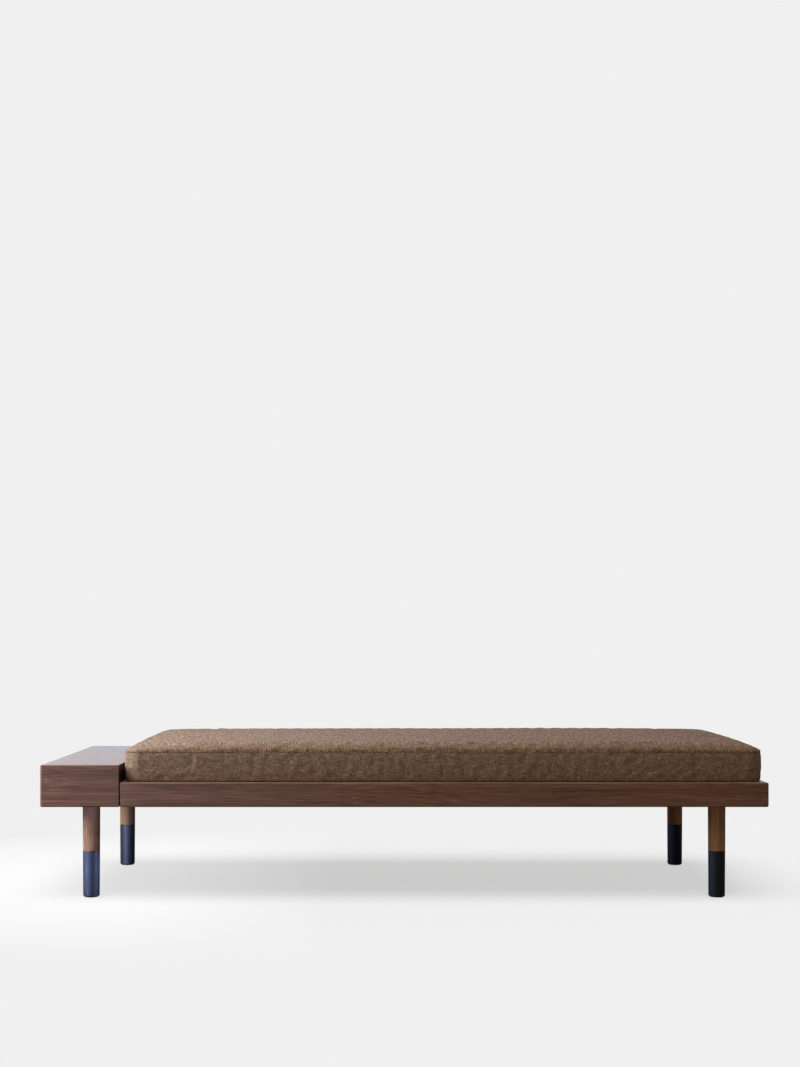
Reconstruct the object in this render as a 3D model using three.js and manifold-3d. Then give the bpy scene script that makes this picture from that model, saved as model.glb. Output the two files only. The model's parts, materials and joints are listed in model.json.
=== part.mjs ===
// A backless divan: a walnut frame with a closed box at its left end that serves as a low table,
// a slatted deck, a loose mattress in a zipped cover, and four turned legs in black sleeves.
// Millimetres. +X runs along the divan to the right, -Y is the front and +Z is up.
// The origin is on the floor, under the middle of the divan.
import * as THREE from "three";
import { mergeVertices } from "three/addons/utils/BufferGeometryUtils.js";
import Module from "manifold-3d";

const wasm = await Module();
wasm.setup();

// Overall sizes
const overallLength = 1900;
const overallDepth = 750;
const legLength = 244;
const railHeight = 64;
const boxHeight = 110;
const boxWidth = 206;
const shadowGap = 3;

// Fits: glued and seated faces that aren't square to the axes keep this much between them
const glueGap = 0.3;
const fitGap = 0.3;
const overrun = 20;
const weldTolerance = 0.001;

// Eased edges: ends, long edges, upright corners, and the square edges beside the shadow gap
const endEdgeRadius = 6;
const longEdgeRadius = 3;
const cornerRadius = 6;
const crispRadius = 1;
const arcSteps = 3;

// Box: the bearer over its legs stands off the outer and the inner panel, which leaves room for the bolts
const panelThickness = 20;
const bottomThickness = 18;
const boxBearerOuterMargin = 57;
const boxBearerInnerMargin = 19;
const boxBearerThickness = 28;
const grooveDepth = 8;
const tongueLength = 7;
const tongueThickness = 6;

// Long frame
const railThickness = 25;
const bearerThickness = 29;
const legBearerWidth = 90;
const midBearerWidth = 60;
const tenonLength = 15;
const bearerTenonThickness = 13;
const headTenonThickness = 10;
const tenonShoulder = 12;
const splineLength = 16;
const splineThickness = 6;
const splineHeight = 40;

// Slatted deck
const slatCount = 12;
const slatWidth = 70;
const slatThickness = 15;
const slatEndGap = 0.5;
const slatSideGap = 0.5;
const ledgeWidth = 20;
const ledgeBelowSlat = 20;
const ledgeDrop = 2;

// Bolted joint between the box and the long frame
const spacerMargin = 12;
const boltSpacing = 440;
const boltDiameter = 8;
const boltHeadDiameter = 16;
const boltHeadHeight = 5;
const boltReach = 6;
const nutBarrelDiameter = 11;
const nutBarrelLength = 12;
const nutFlangeDiameter = 22;
const nutFlangeThickness = 1.5;
const roundSteps = 16;

// Legs: this far in from the end of the frame and from the long sides
const legEndInset = 122;
const legSideInset = 71;
const legTopDiameter = 46;
const legFootDiameter = 43.6;
const sleeveHeight = 122;
const sleeveWall = 2;
const sleeveFloor = 3;
const glideHeight = 3;
const glideDiameter = 38;
const glidePinDiameter = 5;
const glidePinLength = 16;
const legEdge = 1;
const legSteps = 32;
const hangerDiameter = 8;
const hangerInLeg = 36;
const hangerAboveLeg = 24;
const hangerTip = 3;
const insertDiameter = 12;
const insertLength = 22;
const insertFlangeDiameter = 16;
const insertFlangeThickness = 1.2;

// Mattress
const mattressEndGap = 8;
const mattressEndInset = 9;
const mattressSideInset = 14;
const mattressCorner = 45;
const baseSeamHeight = 5;
const baseRoll = 6;
const seamHeight = 76;
const shoulderHeight = 101;
const shoulderRun = 55;
const crownRise = 6;
const borderBulge = 3;
const seamPinch = 1.2;
const seamHalfWidth = 2;
const coverThickness = 2;
const topRingInsets = [120, 210];
const baseRingInset = 150;
const baseRollSteps = 2;
const borderSteps = 4;
const shoulderSteps = 4;
const cornerSteps = 4;
const longSideSteps = 6;
const shortSideSteps = 3;

// Zip in the back of the cover
const zipEndMargin = 185;
const zipHeight = 12;
const zipMidHeight = 42;
const tapeThickness = 1.6;
const chainHeight = 5;
const chainThickness = 1.2;
const sliderLength = 12;
const sliderHeight = 10;
const sliderThickness = 3;
const pullLength = 26;
const pullWidth = 6;
const pullThickness = 1.2;
const pullPinDiameter = 1.6;
const pullHoleDiameter = 2.2;
const pullEyeWall = 1.2;
const pullEarThickness = 1.4;

// Planes and centres that follow from the sizes
const leftX = -overallLength / 2;
const rightX = overallLength / 2;
const frontY = -overallDepth / 2;
const backY = overallDepth / 2;
const baseZ = legLength;
const railTopZ = baseZ + railHeight;
const boxTopZ = baseZ + boxHeight;
const boxRightX = leftX + boxWidth;
const frameLeftX = boxRightX + shadowGap;
const deckLeftX = frameLeftX + railThickness;
const deckRightX = rightX - railThickness;
const deckHalfDepth = overallDepth / 2 - railThickness;
const bearerTopZ = baseZ + bearerThickness;
const slatBaseZ = railTopZ - slatThickness;
const legX = rightX - legEndInset;
const legY = overallDepth / 2 - legSideInset;
const boxBearerLeftX = leftX + panelThickness + boxBearerOuterMargin;
const boxBearerRightX = boxRightX - panelThickness - boxBearerInnerMargin;
const boxLegX = (boxBearerLeftX + boxBearerRightX) / 2;
const mitreRelief = glueGap / Math.SQRT2;

const walnut = new THREE.MeshStandardMaterial({ color: 0x5a3d32, roughness: 0.42, metalness: 0 });
const legWalnut = new THREE.MeshStandardMaterial({ color: 0x6b5143, roughness: 0.5, metalness: 0 });
const beech = new THREE.MeshStandardMaterial({ color: 0xc9a67c, roughness: 0.6, metalness: 0 });
const blackLacquer = new THREE.MeshStandardMaterial({ color: 0x1c1d22, roughness: 0.38, metalness: 0.3 });
const zincSteel = new THREE.MeshStandardMaterial({ color: 0xa7a9a8, roughness: 0.35, metalness: 1 });
const nylon = new THREE.MeshStandardMaterial({ color: 0x222222, roughness: 0.7, metalness: 0 });
const brownWeave = new THREE.MeshStandardMaterial({ color: 0x6f5a49, roughness: 0.95, metalness: 0 });
const foam = new THREE.MeshStandardMaterial({ color: 0xe3dccb, roughness: 1, metalness: 0 });
const zipTapeCloth = new THREE.MeshStandardMaterial({ color: 0x3f3128, roughness: 0.9, metalness: 0 });

// A closed three.js geometry as a solid that can be cut and joined.
function solidFrom(geometry) {
  const bare = geometry.index ? geometry.toNonIndexed() : geometry.clone();
  bare.deleteAttribute("normal");
  bare.deleteAttribute("uv");
  const merged = mergeVertices(bare, weldTolerance);
  const mesh = new wasm.Mesh({
    numProp: 3,
    vertProperties: merged.attributes.position.array,
    triVerts: new Uint32Array(merged.index.array),
  });
  return new wasm.Manifold(mesh);
}

// A solid as a three.js geometry.
function geometryFrom(solid) {
  const mesh = solid.getMesh();
  const points = new Float32Array(mesh.numVert * 3);
  for (let i = 0; i < mesh.numVert; i++) {
    points.set(mesh.vertProperties.subarray(i * mesh.numProp, i * mesh.numProp + 3), i * 3);
  }
  const geometry = new THREE.BufferGeometry();
  geometry.setAttribute("position", new THREE.BufferAttribute(points, 3));
  geometry.setIndex(new THREE.BufferAttribute(mesh.triVerts, 1));
  geometry.computeVertexNormals();
  return geometry;
}

// A box between two opposite corners.
function block(from, to) {
  const size = to.map((value, axis) => value - from[axis]);
  const middle = to.map((value, axis) => (value + from[axis]) / 2);
  const geometry = new THREE.BoxGeometry(...size);
  geometry.translate(...middle);
  return solidFrom(geometry);
}

// The direction that a flat shape's own x, y and depth take when it is extruded along each axis.
const extrudeBases = {
  x: [new THREE.Vector3(0, 1, 0), new THREE.Vector3(0, 0, 1), new THREE.Vector3(1, 0, 0)],
  y: [new THREE.Vector3(1, 0, 0), new THREE.Vector3(0, 0, 1), new THREE.Vector3(0, -1, 0)],
  z: [new THREE.Vector3(1, 0, 0), new THREE.Vector3(0, 1, 0), new THREE.Vector3(0, 0, 1)],
};

// A shape extruded along an axis between two places on it. Its coordinates are the other two axes in order.
function prism(shape, axis, from, to) {
  const geometry = new THREE.ExtrudeGeometry(shape, {
    depth: to - from,
    bevelEnabled: false,
    curveSegments: arcSteps,
  });
  geometry.applyMatrix4(new THREE.Matrix4().makeBasis(...extrudeBases[axis]));
  const start = axis === "y" ? to : from;
  geometry.translate(...["x", "y", "z"].map((name) => (name === axis ? start : 0)));
  return solidFrom(geometry);
}

// A closed outline through points.
function outline(points) {
  return new THREE.Shape(points.map(([u, v]) => new THREE.Vector2(u, v)));
}

// A rectangle whose left corners and right corners have their own radius.
function easedRectangle([u0, v0], [u1, v1], leftRadius, rightRadius) {
  const quarter = Math.PI / 2;
  const shape = new THREE.Shape();
  shape.moveTo(u0 + leftRadius, v0);
  shape.lineTo(u1 - rightRadius, v0);
  shape.absarc(u1 - rightRadius, v0 + rightRadius, rightRadius, -quarter, 0, false);
  shape.lineTo(u1, v1 - rightRadius);
  shape.absarc(u1 - rightRadius, v1 - rightRadius, rightRadius, 0, quarter, false);
  shape.lineTo(u0 + leftRadius, v1);
  shape.absarc(u0 + leftRadius, v1 - leftRadius, leftRadius, quarter, 2 * quarter, false);
  shape.lineTo(u0, v0 + leftRadius);
  shape.absarc(u0 + leftRadius, v0 + leftRadius, leftRadius, 2 * quarter, 3 * quarter, false);
  return shape;
}

// A block with eased edges: end edges and upright corners by side, long edges alike.
function easedBlock([x0, y0, z0], [x1, y1, z1], left, right) {
  const side = prism(easedRectangle([x0, z0], [x1, z1], left.end, right.end), "y", y0, y1);
  const plan = prism(easedRectangle([x0, y0], [x1, y1], left.corner, right.corner), "z", z0, z1);
  const section = easedRectangle([y0, z0], [y1, z1], longEdgeRadius, longEdgeRadius);
  return side.intersect(plan).intersect(prism(section, "x", x0, x1));
}

// A solid turned about an upright axis at (x, y), from a profile of [radius, height] points, lowest first.
function turned(profile, steps, x, y) {
  const points = profile.map(([radius, height]) => new THREE.Vector2(radius, height));
  const geometry = new THREE.LatheGeometry(points, steps);
  geometry.rotateX(Math.PI / 2);
  geometry.translate(x, y, 0);
  return solidFrom(geometry);
}

// A round bar along an upright axis.
function post(diameter, x, y, z0, z1) {
  return turned([[0, z0], [diameter / 2, z0], [diameter / 2, z1], [0, z1]], roundSteps, x, y);
}

// The same solid turned so that its own +Z points along +X, with its origin moved to a place.
function laidAlongX(solid, [x, y, z]) {
  const geometry = geometryFrom(solid);
  const basis = new THREE.Matrix4().makeBasis(
    new THREE.Vector3(0, 1, 0),
    new THREE.Vector3(0, 0, 1),
    new THREE.Vector3(1, 0, 0),
  );
  geometry.applyMatrix4(basis);
  geometry.translate(x, y, z);
  return solidFrom(geometry);
}

const divan = new THREE.Group();

// Adds a named piece to a group.
function add(group, name, solid, material) {
  const mesh = new THREE.Mesh(geometryFrom(solid), material);
  mesh.name = name;
  group.add(mesh);
}

// Drilling for one leg's threaded insert, up from the underside that the leg stands against.
function insertDrilling(x, y) {
  const bore = (diameter, depth) => post(
    diameter + 2 * fitGap, x, y, baseZ - overrun, baseZ + depth + fitGap,
  );
  return bore(insertFlangeDiameter, fitGap + insertFlangeThickness)
    .add(bore(insertDiameter, fitGap + insertLength))
    .add(bore(hangerDiameter, hangerAboveLeg));
}

// Drilling along X for one connector bolt and the barrel of its nut, at height z.
function boltDrilling(y, z) {
  const shank = laidAlongX(
    post(boltDiameter + 2 * fitGap, 0, 0, -panelThickness - overrun, shadowGap + railThickness + overrun),
    [boxRightX, y, z],
  );
  const barrel = laidAlongX(
    post(nutBarrelDiameter + 2 * fitGap, 0, 0, -overrun, nutBarrelLength + fitGap),
    [boxRightX - panelThickness, y, z],
  );
  return shank.add(barrel);
}

const boltZ = baseZ + railHeight / 2;
const boltYs = [-boltSpacing / 2, boltSpacing / 2];

// The closed box: four walls and a top, mitred all round, and a bottom held in a groove.
function buildBox() {
  const group = new THREE.Group();
  const x0 = leftX;
  const x1 = boxRightX;
  const rounded = { end: endEdgeRadius, corner: cornerRadius };
  const crisp = { end: crispRadius, corner: crispRadius };
  const body = easedBlock([x0, frontY, baseZ], [x1, backY, boxTopZ], rounded, crisp);
  const t = panelThickness;
  const g = mitreRelief;

  const frontPlan = outline([
    [x0 + g, frontY], [x1 - g, frontY], [x1 - t - g, frontY + t], [x0 + t + g, frontY + t],
  ]);
  const backPlan = outline([
    [x0 + g, backY], [x0 + t + g, backY - t], [x1 - t - g, backY - t], [x1 - g, backY],
  ]);
  const outerPlan = outline([
    [x0, frontY + g], [x0 + t, frontY + t + g], [x0 + t, backY - t - g], [x0, backY - g],
  ]);
  const innerPlan = outline([
    [x1, frontY + g], [x1, backY - g], [x1 - t, backY - t - g], [x1 - t, frontY + t + g],
  ]);
  const frontSection = outline([
    [frontY, baseZ], [frontY + t, baseZ], [frontY + t, boxTopZ - t - g], [frontY, boxTopZ - g],
  ]);
  const backSection = outline([
    [backY, baseZ], [backY, boxTopZ - g], [backY - t, boxTopZ - t - g], [backY - t, baseZ],
  ]);
  const outerSection = outline([[x0, baseZ], [x0 + t, baseZ], [x0 + t, boxTopZ - t - g], [x0, boxTopZ - g]]);
  const innerSection = outline([[x1, baseZ], [x1, boxTopZ - g], [x1 - t, boxTopZ - t - g], [x1 - t, baseZ]]);
  const topSide = outline([
    [x0 + g, boxTopZ], [x0 + t + g, boxTopZ - t], [x1 - t - g, boxTopZ - t], [x1 - g, boxTopZ],
  ]);
  const topSection = outline([
    [frontY + g, boxTopZ], [frontY + t + g, boxTopZ - t], [backY - t - g, boxTopZ - t], [backY - g, boxTopZ],
  ]);

  const innerX0 = x0 + t;
  const innerX1 = x1 - t;
  const innerY = overallDepth / 2 - t;
  const tongueZ = baseZ + (bottomThickness - tongueThickness) / 2;
  const groove = block(
    [innerX0 - grooveDepth, -innerY - grooveDepth, tongueZ - fitGap],
    [innerX1 + grooveDepth, innerY + grooveDepth, tongueZ + tongueThickness + fitGap],
  );

  const wall = (plan, section, axis) => {
    const upright = prism(plan, "z", baseZ, boxTopZ);
    const across = axis === "x" ? prism(section, "x", x0, x1) : prism(section, "y", frontY, backY);
    return body.intersect(upright).intersect(across).subtract(groove);
  };
  const innerWall = boltYs.reduce(
    (solid, y) => solid.subtract(boltDrilling(y, boltZ)),
    wall(innerPlan, innerSection, "y"),
  );
  const top = body
    .intersect(prism(topSide, "y", frontY, backY))
    .intersect(prism(topSection, "x", x0, x1));

  const bottomCore = block(
    [innerX0 + fitGap, -innerY + fitGap, baseZ],
    [innerX1 - fitGap, innerY - fitGap, baseZ + bottomThickness],
  );
  const tongue = block(
    [innerX0 - tongueLength, -innerY - tongueLength, tongueZ],
    [innerX1 + tongueLength, innerY + tongueLength, tongueZ + tongueThickness],
  );
  const bearer = block(
    [boxBearerLeftX, -innerY + fitGap, baseZ + bottomThickness],
    [boxBearerRightX, innerY - fitGap, baseZ + bottomThickness + boxBearerThickness],
  );
  const drilled = (solid) => [-legY, legY].reduce(
    (rest, y) => rest.subtract(insertDrilling(boxLegX, y)),
    solid,
  );

  add(group, "box_front_panel", wall(frontPlan, frontSection, "x"), walnut);
  add(group, "box_back_panel", wall(backPlan, backSection, "x"), walnut);
  add(group, "box_outer_panel", wall(outerPlan, outerSection, "y"), walnut);
  add(group, "box_inner_panel", innerWall, walnut);
  add(group, "box_top_panel", top, walnut);
  add(group, "box_bottom_panel", drilled(bottomCore.add(tongue)), walnut);
  add(group, "box_leg_bearer", drilled(bearer), beech);
  return group;
}

// A crosswise bearer between the long rails, with a stub tenon at each end.
function bearerSolid(x0, x1, z0, z1, tenonZ0, tenonZ1, tenonX0, tenonX1) {
  const body = block([x0, -deckHalfDepth, z0], [x1, deckHalfDepth, z1]);
  const tenons = block(
    [tenonX0, -deckHalfDepth - tenonLength, tenonZ0],
    [tenonX1, deckHalfDepth + tenonLength, tenonZ1],
  );
  return body.add(tenons);
}

// The mortises that a tenoned piece needs in the long rails: its tenons, grown by the fit.
function mortises(tenonZ0, tenonZ1, tenonX0, tenonX1) {
  const reach = deckHalfDepth + tenonLength + fitGap;
  return block(
    [tenonX0 - fitGap, -reach, tenonZ0 - fitGap],
    [tenonX1 + fitGap, reach, tenonZ1 + fitGap],
  );
}

// The long frame: two long rails and an end rail mitred and splined together, a head rail, two bearers.
function buildFrame() {
  const group = new THREE.Group();
  const rounded = { end: endEdgeRadius, corner: cornerRadius };
  const crisp = { end: crispRadius, corner: crispRadius };
  const body = easedBlock([frameLeftX, frontY, baseZ], [rightX, backY, railTopZ], crisp, rounded);
  const t = railThickness;
  const g = mitreRelief;

  const headTenonX0 = frameLeftX + (t - headTenonThickness) / 2;
  const headTenon = [
    baseZ + tenonShoulder, railTopZ - tenonShoulder, headTenonX0, headTenonX0 + headTenonThickness,
  ];
  const bearerTenonZ0 = baseZ + (bearerThickness - bearerTenonThickness) / 2;
  const midX = (deckLeftX + legX - legBearerWidth / 2) / 2;
  const bearerTenon = (x, width) => [
    bearerTenonZ0,
    bearerTenonZ0 + bearerTenonThickness,
    x - width / 2 + tenonShoulder,
    x + width / 2 - tenonShoulder,
  ];
  const legTenon = bearerTenon(legX, legBearerWidth);
  const midTenon = bearerTenon(midX, midBearerWidth);

  const splineAt = (y, angle, gap) => {
    const geometry = new THREE.BoxGeometry(
      splineLength + 2 * gap, splineThickness + 2 * gap, splineHeight + 2 * gap,
    );
    geometry.rotateZ(angle);
    geometry.translate(rightX - t / 2, y, baseZ + railHeight / 2);
    return solidFrom(geometry);
  };
  const diagonal = Math.PI / 4;
  const frontSplineY = frontY + t / 2;
  const backSplineY = backY - t / 2;
  const splineSlots = splineAt(frontSplineY, diagonal, fitGap).add(splineAt(backSplineY, -diagonal, fitGap));

  const cutters = [mortises(...headTenon), mortises(...legTenon), mortises(...midTenon), splineSlots];
  const rail = (plan) => cutters.reduce(
    (solid, cutter) => solid.subtract(cutter),
    body.intersect(prism(outline(plan), "z", baseZ, railTopZ)),
  );
  const frontRail = rail([
    [frameLeftX, frontY], [rightX - g, frontY], [rightX - t - g, frontY + t], [frameLeftX, frontY + t],
  ]);
  const backRail = rail([
    [frameLeftX, backY], [frameLeftX, backY - t], [rightX - t - g, backY - t], [rightX - g, backY],
  ]);
  const endRail = rail([
    [rightX, frontY + g], [rightX, backY - g], [rightX - t, backY - t - g], [rightX - t, frontY + t + g],
  ]);
  const headRail = boltYs.reduce(
    (solid, y) => solid.subtract(boltDrilling(y, boltZ)),
    bearerSolid(frameLeftX, deckLeftX, baseZ, railTopZ, ...headTenon),
  );
  const legBearer = bearerSolid(
    legX - legBearerWidth / 2, legX + legBearerWidth / 2, baseZ, bearerTopZ, ...legTenon,
  );
  const drilledBearer = [-legY, legY].reduce(
    (solid, y) => solid.subtract(insertDrilling(legX, y)),
    legBearer,
  );
  const midBearer = bearerSolid(
    midX - midBearerWidth / 2, midX + midBearerWidth / 2, baseZ, bearerTopZ, ...midTenon,
  );

  add(group, "front_rail", frontRail, walnut);
  add(group, "back_rail", backRail, walnut);
  add(group, "end_rail", endRail, walnut);
  add(group, "head_rail", headRail, walnut);
  add(group, "leg_bearer", drilledBearer, beech);
  add(group, "middle_bearer", midBearer, beech);
  add(group, "corner_spline_front", splineAt(frontSplineY, diagonal, 0), beech);
  add(group, "corner_spline_back", splineAt(backSplineY, -diagonal, 0), beech);
  return group;
}

// The bolted joint across the shadow gap: a black spacer strip, and bolts into flanged nuts in the box.
function buildBoxJoint() {
  const group = new THREE.Group();
  const strip = boltYs.reduce(
    (solid, y) => solid.subtract(boltDrilling(y, boltZ)),
    block(
      [boxRightX, frontY + spacerMargin, baseZ + spacerMargin],
      [frameLeftX, backY - spacerMargin, railTopZ - spacerMargin],
    ),
  );
  add(group, "shadow_gap_spacer", strip, nylon);

  const nutFaceX = boxRightX - panelThickness;
  const shankLength = railThickness + shadowGap + panelThickness + boltReach;
  const boltProfile = [
    [0, -shankLength],
    [boltDiameter / 2 - crispRadius, -shankLength],
    [boltDiameter / 2, -shankLength + crispRadius],
    [boltDiameter / 2, fitGap],
    [boltHeadDiameter / 2, fitGap],
    [boltHeadDiameter / 2, fitGap + boltHeadHeight - crispRadius],
    [boltHeadDiameter / 2 - crispRadius, fitGap + boltHeadHeight],
    [0, fitGap + boltHeadHeight],
  ];
  const bore = boltDiameter / 2 + fitGap;
  const nutProfile = [
    [bore, -fitGap - nutFlangeThickness],
    [nutFlangeDiameter / 2, -fitGap - nutFlangeThickness],
    [nutFlangeDiameter / 2, -fitGap],
    [nutBarrelDiameter / 2, -fitGap],
    [nutBarrelDiameter / 2, nutBarrelLength],
    [bore, nutBarrelLength],
    [bore, -fitGap - nutFlangeThickness],
  ];
  ["front", "back"].forEach((side, index) => {
    const y = boltYs[index];
    const bolt = laidAlongX(turned(boltProfile, roundSteps, 0, 0), [deckLeftX, y, boltZ]);
    const nut = laidAlongX(turned(nutProfile, roundSteps, 0, 0), [nutFaceX, y, boltZ]);
    add(group, "box_bolt_" + side, bolt, zincSteel);
    add(group, "box_nut_" + side, nut, zincSteel);
  });
  return group;
}

// The deck: slats dropped into the notches of two ledges, level with the top of the rails.
function buildDeck() {
  const group = new THREE.Group();
  const deckLength = deckRightX - deckLeftX;
  const slatGap = (deckLength - slatCount * slatWidth) / (slatCount + 1);
  const slatX = (index) => deckLeftX + slatGap + index * (slatWidth + slatGap);

  const ledge = (y0, y1) => {
    let solid = block([deckLeftX, y0, slatBaseZ - ledgeBelowSlat], [deckRightX, y1, railTopZ - ledgeDrop]);
    for (let index = 0; index < slatCount; index++) {
      const notch = block(
        [slatX(index) - slatSideGap, y0 - overrun, slatBaseZ],
        [slatX(index) + slatWidth + slatSideGap, y1 + overrun, railTopZ + overrun],
      );
      solid = solid.subtract(notch);
    }
    return solid;
  };
  add(group, "front_ledge", ledge(-deckHalfDepth, -deckHalfDepth + ledgeWidth), beech);
  add(group, "back_ledge", ledge(deckHalfDepth - ledgeWidth, deckHalfDepth), beech);

  const slatSection = easedRectangle([0, slatBaseZ], [slatWidth, railTopZ], longEdgeRadius, longEdgeRadius);
  for (let index = 0; index < slatCount; index++) {
    const slat = prism(slatSection, "y", -deckHalfDepth + slatEndGap, deckHalfDepth - slatEndGap);
    const name = "slat_" + String(index + 1).padStart(2, "0");
    add(group, name, slat.translate([slatX(index), 0, 0]), beech);
  }
  return group;
}

// One leg: a tapered shank whose spigot stands in a black sleeve, a glide, a hanger bolt and its insert.
function buildLeg(x, y, place) {
  const group = new THREE.Group();
  const footZ = glideHeight;
  const sleeveTopZ = sleeveHeight;
  const sleeveFloorZ = footZ + sleeveFloor;
  const taper = (z) => {
    const share = (z - footZ) / (legLength - footZ);
    return (legFootDiameter + (legTopDiameter - legFootDiameter) * share) / 2;
  };
  const spigotRadius = legFootDiameter / 2 - sleeveWall - fitGap;
  const boreRadius = legFootDiameter / 2 - sleeveWall;
  const pinBore = glidePinDiameter / 2 + fitGap;
  const pinBoreTopZ = footZ + glidePinLength + fitGap;
  const shoulderZ = sleeveTopZ + fitGap;
  const boltBore = hangerDiameter / 2 + fitGap;
  const boltBoreBaseZ = legLength - hangerInLeg - fitGap;

  const shank = turned([
    [0, pinBoreTopZ],
    [pinBore, pinBoreTopZ],
    [pinBore, sleeveFloorZ + fitGap],
    [spigotRadius - legEdge, sleeveFloorZ + fitGap],
    [spigotRadius, sleeveFloorZ + fitGap + legEdge],
    [spigotRadius, shoulderZ],
    [taper(shoulderZ), shoulderZ],
    [taper(legLength), legLength],
    [boltBore, legLength],
    [boltBore, boltBoreBaseZ],
    [0, boltBoreBaseZ],
  ], legSteps, x, y);

  const sleeve = turned([
    [pinBore, footZ],
    [taper(footZ) - legEdge, footZ],
    [taper(footZ + legEdge), footZ + legEdge],
    [taper(sleeveTopZ), sleeveTopZ],
    [boreRadius, sleeveTopZ],
    [boreRadius, sleeveFloorZ],
    [pinBore, sleeveFloorZ],
    [pinBore, footZ],
  ], legSteps, x, y);

  const glide = turned([
    [0, 0],
    [glideDiameter / 2 - legEdge, 0],
    [glideDiameter / 2, legEdge],
    [glideDiameter / 2, glideHeight],
    [glidePinDiameter / 2, glideHeight],
    [glidePinDiameter / 2, glideHeight + glidePinLength],
    [0, glideHeight + glidePinLength],
  ], roundSteps, x, y);

  const hanger = turned([
    [0, legLength - hangerInLeg],
    [hangerDiameter / 2, legLength - hangerInLeg + hangerTip],
    [hangerDiameter / 2, legLength + hangerAboveLeg - crispRadius],
    [hangerDiameter / 2 - crispRadius, legLength + hangerAboveLeg],
    [0, legLength + hangerAboveLeg],
  ], roundSteps, x, y);

  const insertBore = hangerDiameter / 2 + fitGap;
  const insertZ = baseZ + fitGap;
  const insert = turned([
    [insertBore, insertZ],
    [insertFlangeDiameter / 2, insertZ],
    [insertFlangeDiameter / 2, insertZ + insertFlangeThickness],
    [insertDiameter / 2, insertZ + insertFlangeThickness],
    [insertDiameter / 2, insertZ + insertLength],
    [insertBore, insertZ + insertLength],
    [insertBore, insertZ],
  ], roundSteps, x, y);

  add(group, "leg_shank_" + place, shank, legWalnut);
  add(group, "leg_sleeve_" + place, sleeve, blackLacquer);
  add(group, "leg_glide_" + place, glide, nylon);
  add(group, "leg_hanger_bolt_" + place, hanger, zincSteel);
  add(group, "leg_insert_" + place, insert, zincSteel);
  return group;
}

// The mattress rests on the deck between the box and the end rail.
const seatZ = railTopZ + fitGap;
const mattressX0 = boxRightX + mattressEndGap;
const mattressX1 = rightX - mattressEndInset;
const mattressMidX = (mattressX0 + mattressX1) / 2;
const mattressHalfLength = (mattressX1 - mattressX0) / 2;
const mattressHalfDepth = overallDepth / 2 - mattressSideInset;

// Points round the mattress in plan, drawn in by an inset from its widest outline, anticlockwise.
function mattressRing(inset) {
  const halfLength = mattressHalfLength - inset;
  const halfDepth = mattressHalfDepth - inset;
  const radius = Math.max(mattressCorner - inset, crispRadius);
  const corners = [[1, -1], [1, 1], [-1, 1], [-1, -1]];
  const sideSteps = [shortSideSteps, longSideSteps, shortSideSteps, longSideSteps];
  const points = [];
  corners.forEach(([sx, sy], index) => {
    const centre = [sx * (halfLength - radius), sy * (halfDepth - radius)];
    const start = (index - 1) * (Math.PI / 2);
    for (let step = 0; step <= cornerSteps; step++) {
      const angle = start + (step / cornerSteps) * (Math.PI / 2);
      points.push([centre[0] + radius * Math.cos(angle), centre[1] + radius * Math.sin(angle)]);
    }
    const [nextX, nextY] = corners[(index + 1) % corners.length];
    const nextAngle = start + Math.PI / 2;
    const last = points[points.length - 1];
    const next = [
      nextX * (halfLength - radius) + radius * Math.cos(nextAngle),
      nextY * (halfDepth - radius) + radius * Math.sin(nextAngle),
    ];
    for (let step = 1; step < sideSteps[index]; step++) {
      const share = step / sideSteps[index];
      points.push([last[0] + (next[0] - last[0]) * share, last[1] + (next[1] - last[1]) * share]);
    }
  });
  return points;
}

// The mattress section from the underside out round the border and in over the crown.
// Each entry is how far a ring is drawn in, its height over the seat, and how much of the crown it takes.
function mattressSection() {
  const rings = [{ inset: baseRingInset, height: 0, crown: 0 }];
  for (let step = 0; step < baseRollSteps; step++) {
    const angle = (step / baseRollSteps) * (Math.PI / 2);
    rings.push({
      inset: borderBulge + baseRoll * (1 - Math.sin(angle)),
      height: baseSeamHeight * (1 - Math.cos(angle)),
      crown: 0,
    });
  }
  const borderTop = seamHeight - seamHalfWidth;
  for (let step = 0; step <= borderSteps; step++) {
    const share = step / borderSteps;
    rings.push({
      inset: borderBulge * (1 - Math.sin(Math.PI * share)),
      height: baseSeamHeight + (borderTop - baseSeamHeight) * share,
      crown: 0,
    });
  }
  rings.push({ inset: borderBulge + seamPinch, height: seamHeight, crown: 0 });
  const shoulderBase = seamHeight + seamHalfWidth;
  for (let step = 0; step <= shoulderSteps; step++) {
    const angle = (step / shoulderSteps) * (Math.PI / 2);
    rings.push({
      inset: borderBulge + shoulderRun * (1 - Math.cos(angle)),
      height: shoulderBase + (shoulderHeight - shoulderBase) * Math.sin(angle),
      crown: Math.sin(angle),
    });
  }
  topRingInsets.forEach((inset) => rings.push({ inset, height: shoulderHeight, crown: 1 }));
  return rings;
}

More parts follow.
